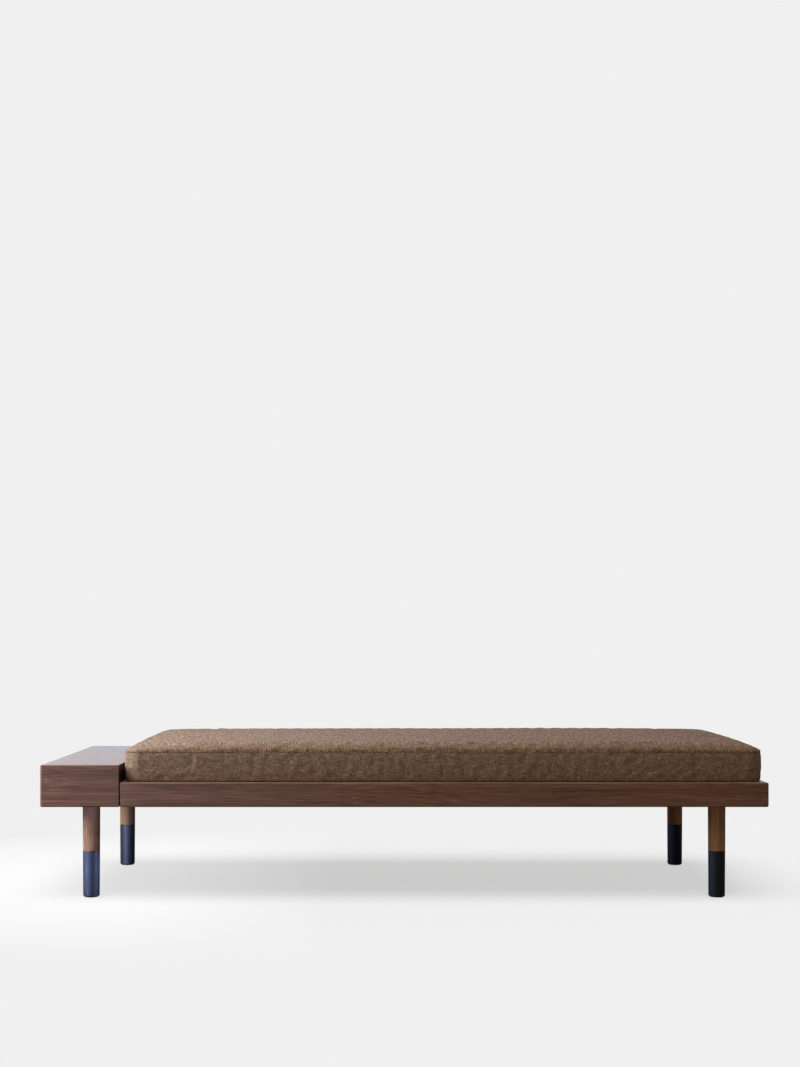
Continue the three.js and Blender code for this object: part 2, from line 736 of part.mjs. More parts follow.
// The mattress form, shrunk inwards all round by a wall.
function mattressForm(wall) {
  const rings = mattressSection();
  const points = [];
  const squash = (shoulderHeight - 2 * wall) / shoulderHeight;
  const crownAt = (x, y) => crownRise
    * (1 - (x / mattressHalfLength) ** 2) * (1 - (y / mattressHalfDepth) ** 2);
  rings.forEach(({ inset, height, crown }) => {
    mattressRing(inset + wall).forEach(([x, y]) => {
      points.push([mattressMidX + x, y, seatZ + wall + height * squash + crown * crownAt(x, y)]);
    });
  });
  const count = points.length / rings.length;
  const baseMiddle = points.push([mattressMidX, 0, seatZ + wall]) - 1;
  const topMiddle = points.push([mattressMidX, 0, seatZ + wall + shoulderHeight * squash + crownRise]) - 1;
  const faces = [];
  for (let i = 0; i < count; i++) {
    const j = (i + 1) % count;
    faces.push([baseMiddle, j, i]);
    for (let ring = 0; ring < rings.length - 1; ring++) {
      const low = ring * count;
      const high = low + count;
      faces.push([low + i, low + j, high + j], [low + i, high + j, high + i]);
    }
    const rim = (rings.length - 1) * count;
    faces.push([rim + i, rim + j, topMiddle]);
  }
  const geometry = new THREE.BufferGeometry();
  geometry.setAttribute("position", new THREE.Float32BufferAttribute(points.flat(), 3));
  geometry.setIndex(faces.flat());
  return solidFrom(geometry);
}

// The mattress: a zipped cover round a foam core, with the closed zip in the back of its border.
function buildMattress() {
  const group = new THREE.Group();
  const zipZ = seatZ + zipMidHeight;
  const zipX0 = mattressX0 + zipEndMargin;
  const zipX1 = mattressX1 - zipEndMargin;
  const slot = block(
    [zipX0, mattressHalfDepth - overrun, zipZ - zipHeight / 2],
    [zipX1, mattressHalfDepth + overrun, zipZ + zipHeight / 2],
  );
  const cover = mattressForm(0).subtract(mattressForm(coverThickness)).subtract(slot);
  const core = mattressForm(coverThickness + fitGap);

  const tapeOuterY = mattressHalfDepth;
  const tape = block(
    [zipX0 + fitGap, tapeOuterY - tapeThickness, zipZ - zipHeight / 2 + fitGap],
    [zipX1 - fitGap, tapeOuterY, zipZ + zipHeight / 2 - fitGap],
  );
  const chain = block(
    [zipX0 + fitGap, tapeOuterY - tapeThickness, zipZ - chainHeight / 2],
    [zipX1 - fitGap, tapeOuterY + chainThickness, zipZ + chainHeight / 2],
  );

  const sliderX1 = zipX1 - fitGap;
  const sliderX0 = sliderX1 - sliderLength;
  const sliderY0 = tapeOuterY + fitGap;
  const sliderY1 = sliderY0 + chainThickness + sliderThickness;
  const eyeRadius = pullHoleDiameter / 2 + pullEyeWall;
  const pinX = sliderX0 + eyeRadius + pullEarThickness;
  const pinY = sliderY1 + fitGap + eyeRadius;
  const sliderBody = block(
    [sliderX0, sliderY0, zipZ - sliderHeight / 2],
    [sliderX1, sliderY1, zipZ + sliderHeight / 2],
  );
  const sliderChannel = block(
    [sliderX0 - overrun, sliderY0 - overrun, zipZ - chainHeight / 2 - fitGap],
    [sliderX1 + overrun, sliderY0 + chainThickness + fitGap, zipZ + chainHeight / 2 + fitGap],
  );
  const earInner = pullWidth / 2 + fitGap;
  const ear = (z0, z1) => block(
    [pinX - eyeRadius, sliderY1 - pullEarThickness, zipZ + z0],
    [pinX + eyeRadius, pinY + eyeRadius, zipZ + z1],
  );
  const pinReach = earInner + pullEarThickness / 2;
  const slider = sliderBody
    .subtract(sliderChannel)
    .add(ear(earInner, earInner + pullEarThickness))
    .add(ear(-earInner - pullEarThickness, -earInner))
    .add(post(pullPinDiameter, pinX, pinY, zipZ - pinReach, zipZ + pinReach));

  const plate = block(
    [pinX - pullLength, pinY - pullThickness / 2, zipZ - pullWidth / 2],
    [pinX, pinY + pullThickness / 2, zipZ + pullWidth / 2],
  );
  const eye = post(2 * eyeRadius, pinX, pinY, zipZ - pullWidth / 2, zipZ + pullWidth / 2);
  const eyeHole = post(pullHoleDiameter, pinX, pinY, zipZ - pullWidth, zipZ + pullWidth);
  const pull = plate.add(eye).subtract(eyeHole);

  add(group, "mattress_cover", cover, brownWeave);
  add(group, "mattress_foam_core", core, foam);
  add(group, "zip_tape", tape.add(chain), zipTapeCloth);
  add(group, "zip_slider", slider, zincSteel);
  add(group, "zip_pull", pull, zincSteel);
  return group;
}

divan.add(buildBox());
divan.add(buildFrame());
divan.add(buildBoxJoint());
divan.add(buildDeck());
divan.add(buildLeg(boxLegX, -legY, "front_left"));
divan.add(buildLeg(boxLegX, legY, "back_left"));
divan.add(buildLeg(legX, -legY, "front_right"));
divan.add(buildLeg(legX, legY, "back_right"));
divan.add(buildMattress());

export default divan;
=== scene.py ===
"""Looks of the backless divan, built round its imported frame.

Metres, in the frame's own axes: +X runs along the divan to the right, -Y is the front and +Z is up.
"""

import json
import logging
import math
from collections.abc import Sequence
from dataclasses import dataclass
from enum import Enum

import bmesh
import bpy
import numpy as np
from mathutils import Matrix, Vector

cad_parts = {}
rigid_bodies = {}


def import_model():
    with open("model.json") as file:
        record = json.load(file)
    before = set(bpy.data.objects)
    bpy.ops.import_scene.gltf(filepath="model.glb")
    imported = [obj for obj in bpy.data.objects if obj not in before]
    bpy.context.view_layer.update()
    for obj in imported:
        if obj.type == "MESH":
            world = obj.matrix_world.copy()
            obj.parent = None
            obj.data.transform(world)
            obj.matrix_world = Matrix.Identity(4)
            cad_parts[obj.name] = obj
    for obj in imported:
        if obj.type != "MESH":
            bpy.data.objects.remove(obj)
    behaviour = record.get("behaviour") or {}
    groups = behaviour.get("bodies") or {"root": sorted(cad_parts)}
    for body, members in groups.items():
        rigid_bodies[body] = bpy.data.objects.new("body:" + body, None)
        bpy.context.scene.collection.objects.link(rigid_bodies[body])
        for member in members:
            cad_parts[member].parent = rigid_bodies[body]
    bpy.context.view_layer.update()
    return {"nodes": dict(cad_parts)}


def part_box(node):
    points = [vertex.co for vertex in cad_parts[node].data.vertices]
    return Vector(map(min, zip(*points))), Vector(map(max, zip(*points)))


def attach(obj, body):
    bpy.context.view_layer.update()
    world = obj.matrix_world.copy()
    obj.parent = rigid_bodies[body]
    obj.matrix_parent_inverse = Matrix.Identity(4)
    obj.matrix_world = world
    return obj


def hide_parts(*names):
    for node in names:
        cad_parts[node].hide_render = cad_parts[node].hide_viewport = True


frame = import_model()

log = logging.getLogger("divan")

MM = 0.001
Socket = bpy.types.NodeSocket
Number = float | Socket
Triple = tuple[float, float, float]

ORIGIN = (0.0, 0.0, 0.0)
WHITE = (1.0, 1.0, 1.0)
NOISE_RANGE = (0.3, 0.7)  # most of a noise's values lie between these
MERGE = 0.02 * MM  # points of a board closer than this are one
TINY = 1e-9  # keeps a distance from being 0 where something is divided by it
EDGE_RANGE = (0.505, 0.56)  # the pointedness from which an edge wears, and that of a sharp one
THREAD_STEP = 17.31  # how far apart in the noise two threads lie
FAMILY_STEP = 31.7  # how far apart in it warp and weft lie
BOARD_STEP = np.array((0.731, 0.417, 0.293))  # how far apart in the grain two boards lie
BOARD_START = np.array((0.0, 0.053, 0.031))


class GrainAxis(Enum):
    """The way the grain runs, as the turn that brings it onto the pattern's own X axis."""

    ALONG = (0.0, 0.0, 0.0)
    ACROSS = (0.0, 0.0, -math.pi / 2)
    UPRIGHT = (0.0, math.pi / 2, 0.0)


def rgba(colour: Triple | Socket) -> Sequence[float] | Socket:
    """A colour as four numbers, or a socket as it is."""
    return colour if isinstance(colour, Socket) else (*colour, 1.0)


def scaled(colour: Triple, share: float) -> Triple:
    """A colour times a share, held at 1."""
    return tuple(min(value * share, 1.0) for value in colour)


class Shading:
    """Adds nodes to one node tree and links them."""

    def __init__(self, tree: bpy.types.NodeTree) -> None:
        """Keeps the tree that the nodes go into."""
        self.tree = tree

    def node(self, kind: str, inputs: dict | None = None, **settings) -> bpy.types.Node:
        """Adds one node.

        Args:
            kind: Blender's name for the type of node.
            inputs: a value or another node's socket for each input, by its name or number.
            settings: the node's own settings.

        Returns:
            The new node.
        """
        node = self.tree.nodes.new(kind)
        for name, value in settings.items():
            setattr(node, name, value)
        self.feed(node, inputs or {})
        return node

    def feed(self, node: bpy.types.Node, inputs: dict) -> None:
        """Gives a node's inputs their values, or links them to other nodes' sockets.

        Args:
            node: the node.
            inputs: a value or a socket for each input, by its name or number.
        """
        for name, value in inputs.items():
            if isinstance(value, Socket):
                self.tree.links.new(value, node.inputs[name])
            else:
                node.inputs[name].default_value = value

    def math(self, operation: str, *values: Number, clamp: bool = False) -> Socket:
        """Adds a Math node and returns its result, which can be held from 0 to 1."""
        inputs = dict(enumerate(values))
        return self.node("ShaderNodeMath", inputs, operation=operation, use_clamp=clamp).outputs[0]

    def add(self, first: Number, second: Number) -> Socket:
        """Adds two numbers."""
        return self.math("ADD", first, second)

    def times(self, first: Number, second: Number) -> Socket:
        """Multiplies two numbers."""
        return self.math("MULTIPLY", first, second)

    def vector(self, operation: str, *values: Triple | Socket, output: int = 0) -> Socket:
        """Adds a Vector Math node and returns its vector, or its value as output 1."""
        inputs = dict(enumerate(values))
        return self.node("ShaderNodeVectorMath", inputs, operation=operation).outputs[output]

    def combine(self, x: Number, y: Number, z: Number) -> Socket:
        """Puts three numbers together as a vector."""
        return self.node("ShaderNodeCombineXYZ", {0: x, 1: y, 2: z}).outputs[0]

    def separate(self, vector: Socket) -> Sequence[Socket]:
        """Takes a vector apart into three numbers."""
        return self.node("ShaderNodeSeparateXYZ", {0: vector}).outputs

    def noise(
        self,
        vector: Socket,
        scale: float | Triple | Socket,
        detail: float = 2.0,
        roughness: float = 0.5,
    ) -> Socket:
        """Adds a noise that can be stretched by axis.

        Args:
            vector: the place, in metres.
            scale: features for each metre, or for each metre along each axis.
            detail: octaves.
            roughness: how strong the finer octaves are.

        Returns:
            The noise, about 0.5 on average.
        """
        scales = (scale,) * 3 if isinstance(scale, float) else scale
        stretched = self.vector("MULTIPLY", vector, scales)
        inputs = {"Vector": stretched, "Scale": 1.0, "Detail": detail, "Roughness": roughness}
        return self.node("ShaderNodeTexNoise", inputs).outputs["Fac"]

    def mix(
        self, factor: Number, first: Triple | Socket, second: Triple | Socket, blend: str = "MIX"
    ) -> Socket:
        """Mixes two colours.

        Args:
            factor: the second one's share.
            first: the first colour.
            second: the second colour.
            blend: how they are mixed.

        Returns:
            The mixed colour.
        """
        inputs = {0: factor, 6: rgba(first), 7: rgba(second)}
        return self.node("ShaderNodeMix", inputs, data_type="RGBA", blend_type=blend).outputs[2]

    def ramp(self, value: Socket, places: Sequence[float], colours: Sequence[Triple]) -> Socket:
        """Turns a value into a colour.

        Args:
            value: from 0 to 1.
            places: the values that have a colour of their own, lowest first.
            colours: their colours.

        Returns:
            The colour.
        """
        node = self.node("ShaderNodeValToRGB", {0: value})
        elements = node.color_ramp.elements
        while len(elements) < len(places):
            elements.new(1.0)
        for element, place, colour in zip(elements, places, colours):
            element.position = place
            element.color = rgba(colour)
        return node.outputs[0]

    def spread(
        self,
        value: Socket,
        low: float,
        high: float,
        new_low: Number = 0.0,
        new_high: Number = 1.0,
    ) -> Socket:
        """Maps a range to another one, held at its ends.

        Args:
            value: what is mapped.
            low: the value that gives new_low.
            high: the value that gives new_high.
            new_low: the result at low.
            new_high: the result at high.

        Returns:
            The mapped value.
        """
        inputs = {0: value, 1: low, 2: high, 3: new_low, 4: new_high}
        return self.node("ShaderNodeMapRange", inputs).outputs[0]

    def bump(self, height: Socket, distance: float, strength: float) -> Socket:
        """Adds a Bump node over a height from 0 to 1 that stands for a distance."""
        inputs = {"Height": height, "Distance": distance, "Strength": strength}
        return self.node("ShaderNodeBump", inputs).outputs["Normal"]

    def call(self, group: bpy.types.NodeTree, inputs: dict) -> Sequence[Socket]:
        """Places a node group, feeds it and returns its outputs."""
        return self.node("ShaderNodeGroup", inputs, node_tree=group).outputs

    def place(self) -> Socket:
        """The place on the piece, in metres."""
        return self.node("ShaderNodeTexCoord").outputs["Object"]

    def attribute(self, name: str, output: str = "Fac") -> Socket:
        """What the piece's points say under a name."""
        return self.node("ShaderNodeAttribute", attribute_name=name).outputs[output]

    def ray(self, *kinds: str) -> Socket:
        """Tells some kinds of ray from the others.

        Args:
            kinds: the kinds, as the Light Path node names them.

        Returns:
            1 for rays of any of these kinds.
        """
        path = self.node("ShaderNodeLightPath").outputs
        result = path[f"Is {kinds[0]} Ray"]
        for kind in kinds[1:]:
            result = self.math("MAXIMUM", result, path[f"Is {kind} Ray"])
        return result


def blank(owner: bpy.types.Material | bpy.types.World) -> Shading:
    """Empties the nodes of a material or a world.

    Args:
        owner: the material or the world.

    Returns:
        Its shading.
    """
    owner.use_nodes = True
    owner.node_tree.nodes.clear()
    return Shading(owner.node_tree)


def new_group(
    name: str, inputs: dict[str, float | Triple], outputs: Sequence[str]
) -> tuple[Shading, Sequence[Socket], bpy.types.Node]:
    """Makes a node group whose outputs are numbers.

    Args:
        name: what the effect is called.
        inputs: each input's value, which also tells a number from a vector.
        outputs: the outputs' names.

    Returns:
        The group's shading, the sockets of its inputs, and its output node.
    """
    tree = bpy.data.node_groups.new(name, "ShaderNodeTree")
    for label, value in inputs.items():
        kind = "NodeSocketVector" if isinstance(value, tuple) else "NodeSocketFloat"
        socket = tree.interface.new_socket(label, in_out="INPUT", socket_type=kind)
        socket.default_value = value
    for label in outputs:
        tree.interface.new_socket(label, in_out="OUTPUT", socket_type="NodeSocketFloat")
    shading = Shading(tree)
    return shading, shading.node("NodeGroupInput").outputs, shading.node("NodeGroupOutput")


def grain_group() -> bpy.types.NodeTree:
    """Wood grain along the pattern's X axis.

    Wandering growth bands, fine streaks and short dark pores are stretched noises, and a slow drift
    changes the tone from one stretch of the board to the next.

    Returns:
        The group. Its outputs are all from 0 to 1.
    """
    defaults = {"Vector": ORIGIN, "Band Width": 0.02, "Streak Width": 0.003, "Streak Length": 0.1}
    outputs = ("Tone", "Pores", "Drift", "Height")
    shading, given, result = new_group("grain", defaults, outputs)
    place, width, length = given["Vector"], given["Streak Width"], given["Streak Length"]
    wander = shading.noise(place, (1.6, 9.0, 9.0), 1.0)
    shift = shading.times(shading.math("SUBTRACT", wander, 0.5), 0.05)
    wandering = shading.vector("ADD", place, shading.combine(0.0, shift, shift))

    def fibres(wide: Socket, long: Socket, detail: float, roughness: float = 0.5) -> Socket:
        """Noise in fibres.

        Args:
            wide: a fibre's width.
            long: its length.
            detail: the noise's detail.
            roughness: its roughness.

        Returns:
            The noise.
        """
        across = shading.math("DIVIDE", 1.0, wide)
        scale = shading.combine(shading.math("DIVIDE", 1.0, long), across, across)
        return shading.noise(wandering, scale, detail, roughness)

    bands = fibres(given["Band Width"], shading.times(length, 6.0), 2.0)
    bands = shading.spread(bands, *NOISE_RANGE)
    streaks = shading.spread(fibres(width, length, 4.0, 0.62), *NOISE_RANGE)
    dots = fibres(shading.times(width, 0.16), shading.times(length, 0.12), 1.0)
    pores = shading.spread(dots, 0.62, 0.74)
    drift = shading.noise(place, (1.1, 7.0, 7.0), 2.0)
    height = shading.math("SUBTRACT", shading.times(streaks, 0.5), pores)
    shading.feed(result, {
        "Tone": shading.math("MULTIPLY_ADD", bands, 0.25, shading.times(streaks, 0.75)),
        "Pores": pores,
        "Drift": shading.spread(drift, *NOISE_RANGE),
        "Height": shading.math("MULTIPLY_ADD", height, 0.5, 0.5),
    })
    return shading.tree


def wear_group() -> bpy.types.NodeTree:
    """Handling wear along edges: the sharper the edge and the rougher the noise there, the more.

    Returns:
        The group. Its output is 1 where the finish is most worn.
    """
    defaults = {"Vector": ORIGIN, "Amount": 0.5, "Patch Size": 0.03}
    shading, given, result = new_group("edge_wear", defaults, ("Worn",))
    pointed = shading.node("ShaderNodeNewGeometry").outputs["Pointiness"]
    edge = shading.spread(pointed, *EDGE_RANGE)
    often = shading.math("DIVIDE", 1.0, given["Patch Size"])
    noise = shading.noise(given["Vector"], shading.combine(often, often, often), 4.0, 0.7)
    patchy = shading.times(edge, shading.spread(noise, 0.38, 0.66))
    worn = shading.math("MULTIPLY", patchy, given["Amount"], clamp=True)
    shading.feed(result, {"Worn": worn})
    return shading.tree


def weave_group() -> bpy.types.NodeTree:
    """A plain weave whose threads change tone along their length, as slub yarn does.

    The cell number across the threads picks each thread's own stretch of noise, and a thread stands
    highest where it passes over the other one. Warp and weft take turns like the squares of a
    draughtboard.

    Returns:
        The group: Tone and Height from 0 to 1, and Gap, which is 1 between the threads.
    """
    defaults = {"Vector": ORIGIN, "Pitch": 0.0016, "Slub Length": 9.0}
    shading, given, result = new_group("weave", defaults, ("Tone", "Height", "Gap"))
    axes = shading.separate(given["Vector"])
    places = [shading.math("DIVIDE", axes[axis], given["Pitch"]) for axis in (0, 1)]
    cells = [shading.math("FLOOR", place) for place in places]
    shares = [shading.math("FRACT", place) for place in places]

    def thread(across: int) -> tuple[Socket, Socket]:
        """One family of threads.

        A thread's height is (1 - c^2) x (0.65 + 0.35 sin(pi p)), where c runs from -1 to 1 across
        it and p counts the threads that it crosses. Its tone is a noise that changes slowly along
        it.

        Args:
            across: 0 for the warp and 1 for the weft.

        Returns:
            Its height and its tone.
        """
        along = places[1 - across]
        centred = shading.math("MULTIPLY_ADD", shares[across], 2.0, -1.0)
        section = shading.math("SUBTRACT", 1.0, shading.math("POWER", centred, 2.0))
        phase = shading.add(along, shading.add(cells[across], float(across)))
        wave = shading.math("SINE", shading.times(phase, math.pi))
        height = shading.times(section, shading.math("MULTIPLY_ADD", wave, 0.35, 0.65))
        row = shading.times(cells[across], THREAD_STEP)
        slow = shading.math("DIVIDE", along, given["Slub Length"])
        spot = shading.combine(slow, row, across * FAMILY_STEP)
        return height, shading.noise(spot, 1.0, 3.0, 0.65)

    (warp_height, warp_tone), (weft_height, weft_tone) = thread(0), thread(1)
    over = shading.math("GREATER_THAN", weft_height, warp_height)
    height = shading.math("MAXIMUM", weft_height, warp_height)
    shading.feed(result, {
        "Tone": shading.spread(shading.mix(over, warp_tone, weft_tone), 0.25, 0.75),
        "Height": height,
        "Gap": shading.spread(height, 0.55, 0.15),
    })
    return shading.tree


@dataclass(frozen=True)
class Effects:
    """The shader effects that more than one finish uses."""

    grain: bpy.types.NodeTree
    wear: bpy.types.NodeTree
    weave: bpy.types.NodeTree


@dataclass(frozen=True)
class Finish:
    """What every finish has: a name, and a material that it paints."""

    name: str

    def material(self, effects: Effects) -> bpy.types.Material:
        """Makes the material: one Principled shader, fed by the finish's own nodes.

        Args:
            effects: the shared effects.

        Returns:
            The material.
        """
        material = bpy.data.materials.new(self.name)
        shading = blank(material)
        shader = shading.node("ShaderNodeBsdfPrincipled", self.paint(shading, effects))
        shading.node("ShaderNodeOutputMaterial", {"Surface": shader.outputs[0]})
        return material

    def paint(self, shading: Shading, effects: Effects) -> dict:
        """Adds the finish's own nodes.

        Args:
            shading: the material's shading.
            effects: the shared effects.

        Returns:
            What each input of the shader gets.
        """
        raise NotImplementedError


@dataclass(frozen=True)
class Wood(Finish):
    """Oiled or lacquered solid wood."""

    axis: GrainAxis
    dark: Triple
    middle: Triple
    light: Triple
    warm: Triple
    cool: Triple
    band_width: float = 22 * MM
    streak_width: float = 1.9 * MM
    streak_length: float = 210 * MM
    roughness: float = 0.42
    coat: float = 0.0
    specular: float = 0.3
    wear: float = 0.4

    def paint(self, shading: Shading, effects: Effects) -> dict:
        """Adds the grain, whose tone picks the colour and whose drift makes it warmer or cooler.

        Pores darken the colour, and worn edges lighten it.

        Args:
            shading: the material's shading.
            effects: the shared effects.

        Returns:
            What each input of the shader gets.
        """
        place = shading.place()
        inputs = {
            "Vector": shading.vector("ADD", place, shading.attribute("board_shift", "Vector")),
            "Rotation": self.axis.value,
        }
        grain = shading.call(effects.grain, {
            "Vector": shading.node("ShaderNodeMapping", inputs).outputs[0],
            "Band Width": self.band_width,
            "Streak Width": self.streak_width,
            "Streak Length": self.streak_length,
        })
        tones = (self.dark, self.middle, self.light)
        colour = shading.ramp(grain["Tone"], (0.1, 0.5, 0.92), tones)
        tint = shading.mix(grain["Drift"], self.cool, self.warm)
        drifted = shading.mix(0.5, colour, tint, "OVERLAY")
        pored = shading.mix(shading.times(grain["Pores"], 0.55), drifted, self.dark)
        worn = shading.call(effects.wear, {"Vector": place, "Amount": self.wear})["Worn"]
        rough = shading.math("MULTIPLY_ADD", grain["Tone"], 0.24, self.roughness - 0.12)
        return {
            "Base Color": shading.mix(worn, pored, self.light),
            "Roughness": shading.add(rough, shading.times(worn, 0.1)),
            "Normal": shading.bump(grain["Height"], 0.12 * MM, 0.6),
            "Coat Weight": self.coat,
            "Coat Roughness": 0.25,
            "Specular IOR Level": self.specular,
        }


@dataclass(frozen=True)
class Coating(Finish):
    """A plain surface: two colours in clouds, a fine relief, and edges worn to a third colour.

    Each noise is its scale, its detail and its roughness. The cloud's range is the two noise values
    between which the second colour's share grows, and that share at both.
    """

    first: Triple
    second: Triple
    edge: Triple
    roughness: tuple[float, float]
    cloud: tuple[float, float, float] = (60.0, 3.0, 0.5)
    cloud_range: tuple[float, float, float, float] = (*NOISE_RANGE, 0.0, 0.3)
    grain: tuple[float | Triple, float, float] = (2200.0, 2.0, 0.5)
    relief: tuple[float, float] = (0.04 * MM, 0.6)
    rough_by_grain: bool = True
    wear: float = 0.5
    patch: float = 6 * MM
    metallic: float = 0.0
    specular: float = 0.5
    specular_tint: Triple = WHITE

    def paint(self, shading: Shading, effects: Effects) -> dict:
        """Adds the clouds, the relief and the wear.

        Args:
            shading: the material's shading.
            effects: the shared effects.

        Returns:
            What each input of the shader gets.
        """
        place = shading.place()
        cloud, grain = shading.noise(place, *self.cloud), shading.noise(place, *self.grain)
        wear = {"Vector": place, "Amount": self.wear, "Patch Size": self.patch}
        worn = shading.call(effects.wear, wear)["Worn"]
        base = shading.mix(shading.spread(cloud, *self.cloud_range), self.first, self.second)
        patches = grain if self.rough_by_grain else cloud
        return {
            "Base Color": shading.mix(worn, base, self.edge),
            "Roughness": shading.spread(patches, *NOISE_RANGE, *self.roughness),
            "Normal": shading.bump(grain, *self.relief),
            "Metallic": self.metallic,
            "Specular IOR Level": self.specular,
            "Specular Tint": rgba(self.specular_tint),
        }


@dataclass(frozen=True)
class Cloth(Finish):
    """Woven cloth, patterned on the piece's own UV map in metres."""

    dark: Triple
    middle: Triple
    light: Triple
    pitch: float = 1.6 * MM
    slub_length: float = 5.0
    coarse: float = 1.25
    coarse_share: float = 0.75
    relief: float = 0.35 * MM
    # How dark the painted shade in the seam's crease is.
    seam_painted_shade: float = 0.28
    speck_size: float = 3.0 * MM
    specks: float = 0.16
    ridge_size: float = 3.2 * MM
    ridge_length: float = 36 * MM
    ridges: float = 0.8

    def paint(self, shading: Shading, effects: Effects) -> dict:
        """Adds the weave, whose tone picks the yarn's colour.

        A coarser weave over it gives groups of like threads, and specks break them up. Where the
        attribute "lying" says that the cloth lies flat, ridges of thread that run front to back do
        so too. The gaps between threads are painted darker as painted shade, and the attribute
        "seam" places painted shade in the crease along the sewn seam.

        Args:
            shading: the material's shading.
            effects: the shared effects.

        Returns:
            What each input of the shader gets.
        """
        place = shading.node("ShaderNodeUVMap", uv_map="cloth").outputs[0]
        fine, coarse = (
            shading.call(effects.weave, {
                "Vector": place, "Pitch": self.pitch * size, "Slub Length": self.slub_length * size,
            })
            for size in (1.0, self.coarse)
        )

        def patches(scale: float | Triple, reach: float) -> Socket:
            """A noise that adds or takes up to half of its reach."""
            noise = shading.noise(place, scale, 1.0)
            return shading.spread(noise, 0.25, 0.75, -reach / 2, reach / 2)

        tone = shading.add(
            shading.times(fine["Tone"], 1 - self.coarse_share),
            shading.times(coarse["Tone"], self.coarse_share),
        )
        cloud = shading.noise(place, 9.0, 3.0)
        tone = shading.add(tone, shading.math("MULTIPLY_ADD", cloud, 0.1, -0.05))
        tone = shading.add(tone, patches(1 / self.speck_size, self.specks))
        ridges = patches((1 / self.ridge_size, 1 / self.ridge_length, 1.0), self.ridges)
        tone = shading.add(tone, shading.times(shading.attribute("lying"), ridges))
        yarn = shading.ramp(tone, (0.2, 0.5, 0.8), (self.dark, self.middle, self.light))
        # Painted shade in the gaps between the threads.
        yarn_with_gap_shade = shading.mix(shading.times(fine["Gap"], 0.55), yarn, self.dark)
        # Painted shade in the crease along the seam.
        painted_seam_shade = shading.math("MULTIPLY", shading.attribute("seam"), self.seam_painted_shade, clamp=True)
        fuzz = shading.noise(place, 2600.0, 2.0)
        height = shading.add(fine["Height"], shading.times(fuzz, 0.25))
        return {
            "Base Color": shading.mix(painted_seam_shade, yarn_with_gap_shade, scaled(self.dark, 0.45)),
            "Roughness": shading.spread(fine["Tone"], 0.0, 1.0, 0.95, 0.82),
            "Normal": shading.bump(height, self.relief, 0.7),
            "Sheen Weight": 0.1,
            "Sheen Roughness": 0.45,
            "Sheen Tint": (0.75, 0.62, 0.52, 1.0),
            "Specular IOR Level": 0.1,
        }


@dataclass(frozen=True)
class Foam(Finish):
    """Open-cell foam: a pale cream with fine pits, painted darker as painted shade in them."""

    colour: Triple = (0.72, 0.66, 0.5)

    def paint(self, shading: Shading, effects: Effects) -> dict:
        """Adds the pits and their painted shade.

        Args:
            shading: the material's shading.
            effects: the shared effects, of which it uses none.

        Returns:
            What each input of the shader gets.
        """
        inputs = {"Vector": shading.place(), "Scale": 900.0}
        cells = shading.node("ShaderNodeTexVoronoi", inputs).outputs["Distance"]
        pits = shading.spread(cells, 0.0, 0.5)
        return {
            # The pits are painted darker where they are deepest: painted shade.
            "Base Color": shading.mix(pits, scaled(self.colour, 0.55), self.colour),
            "Roughness": shading.spread(pits, 0.0, 1.0, 1.0, 0.9),
            "Normal": shading.bump(pits, 0.3 * MM, 0.8),
        }


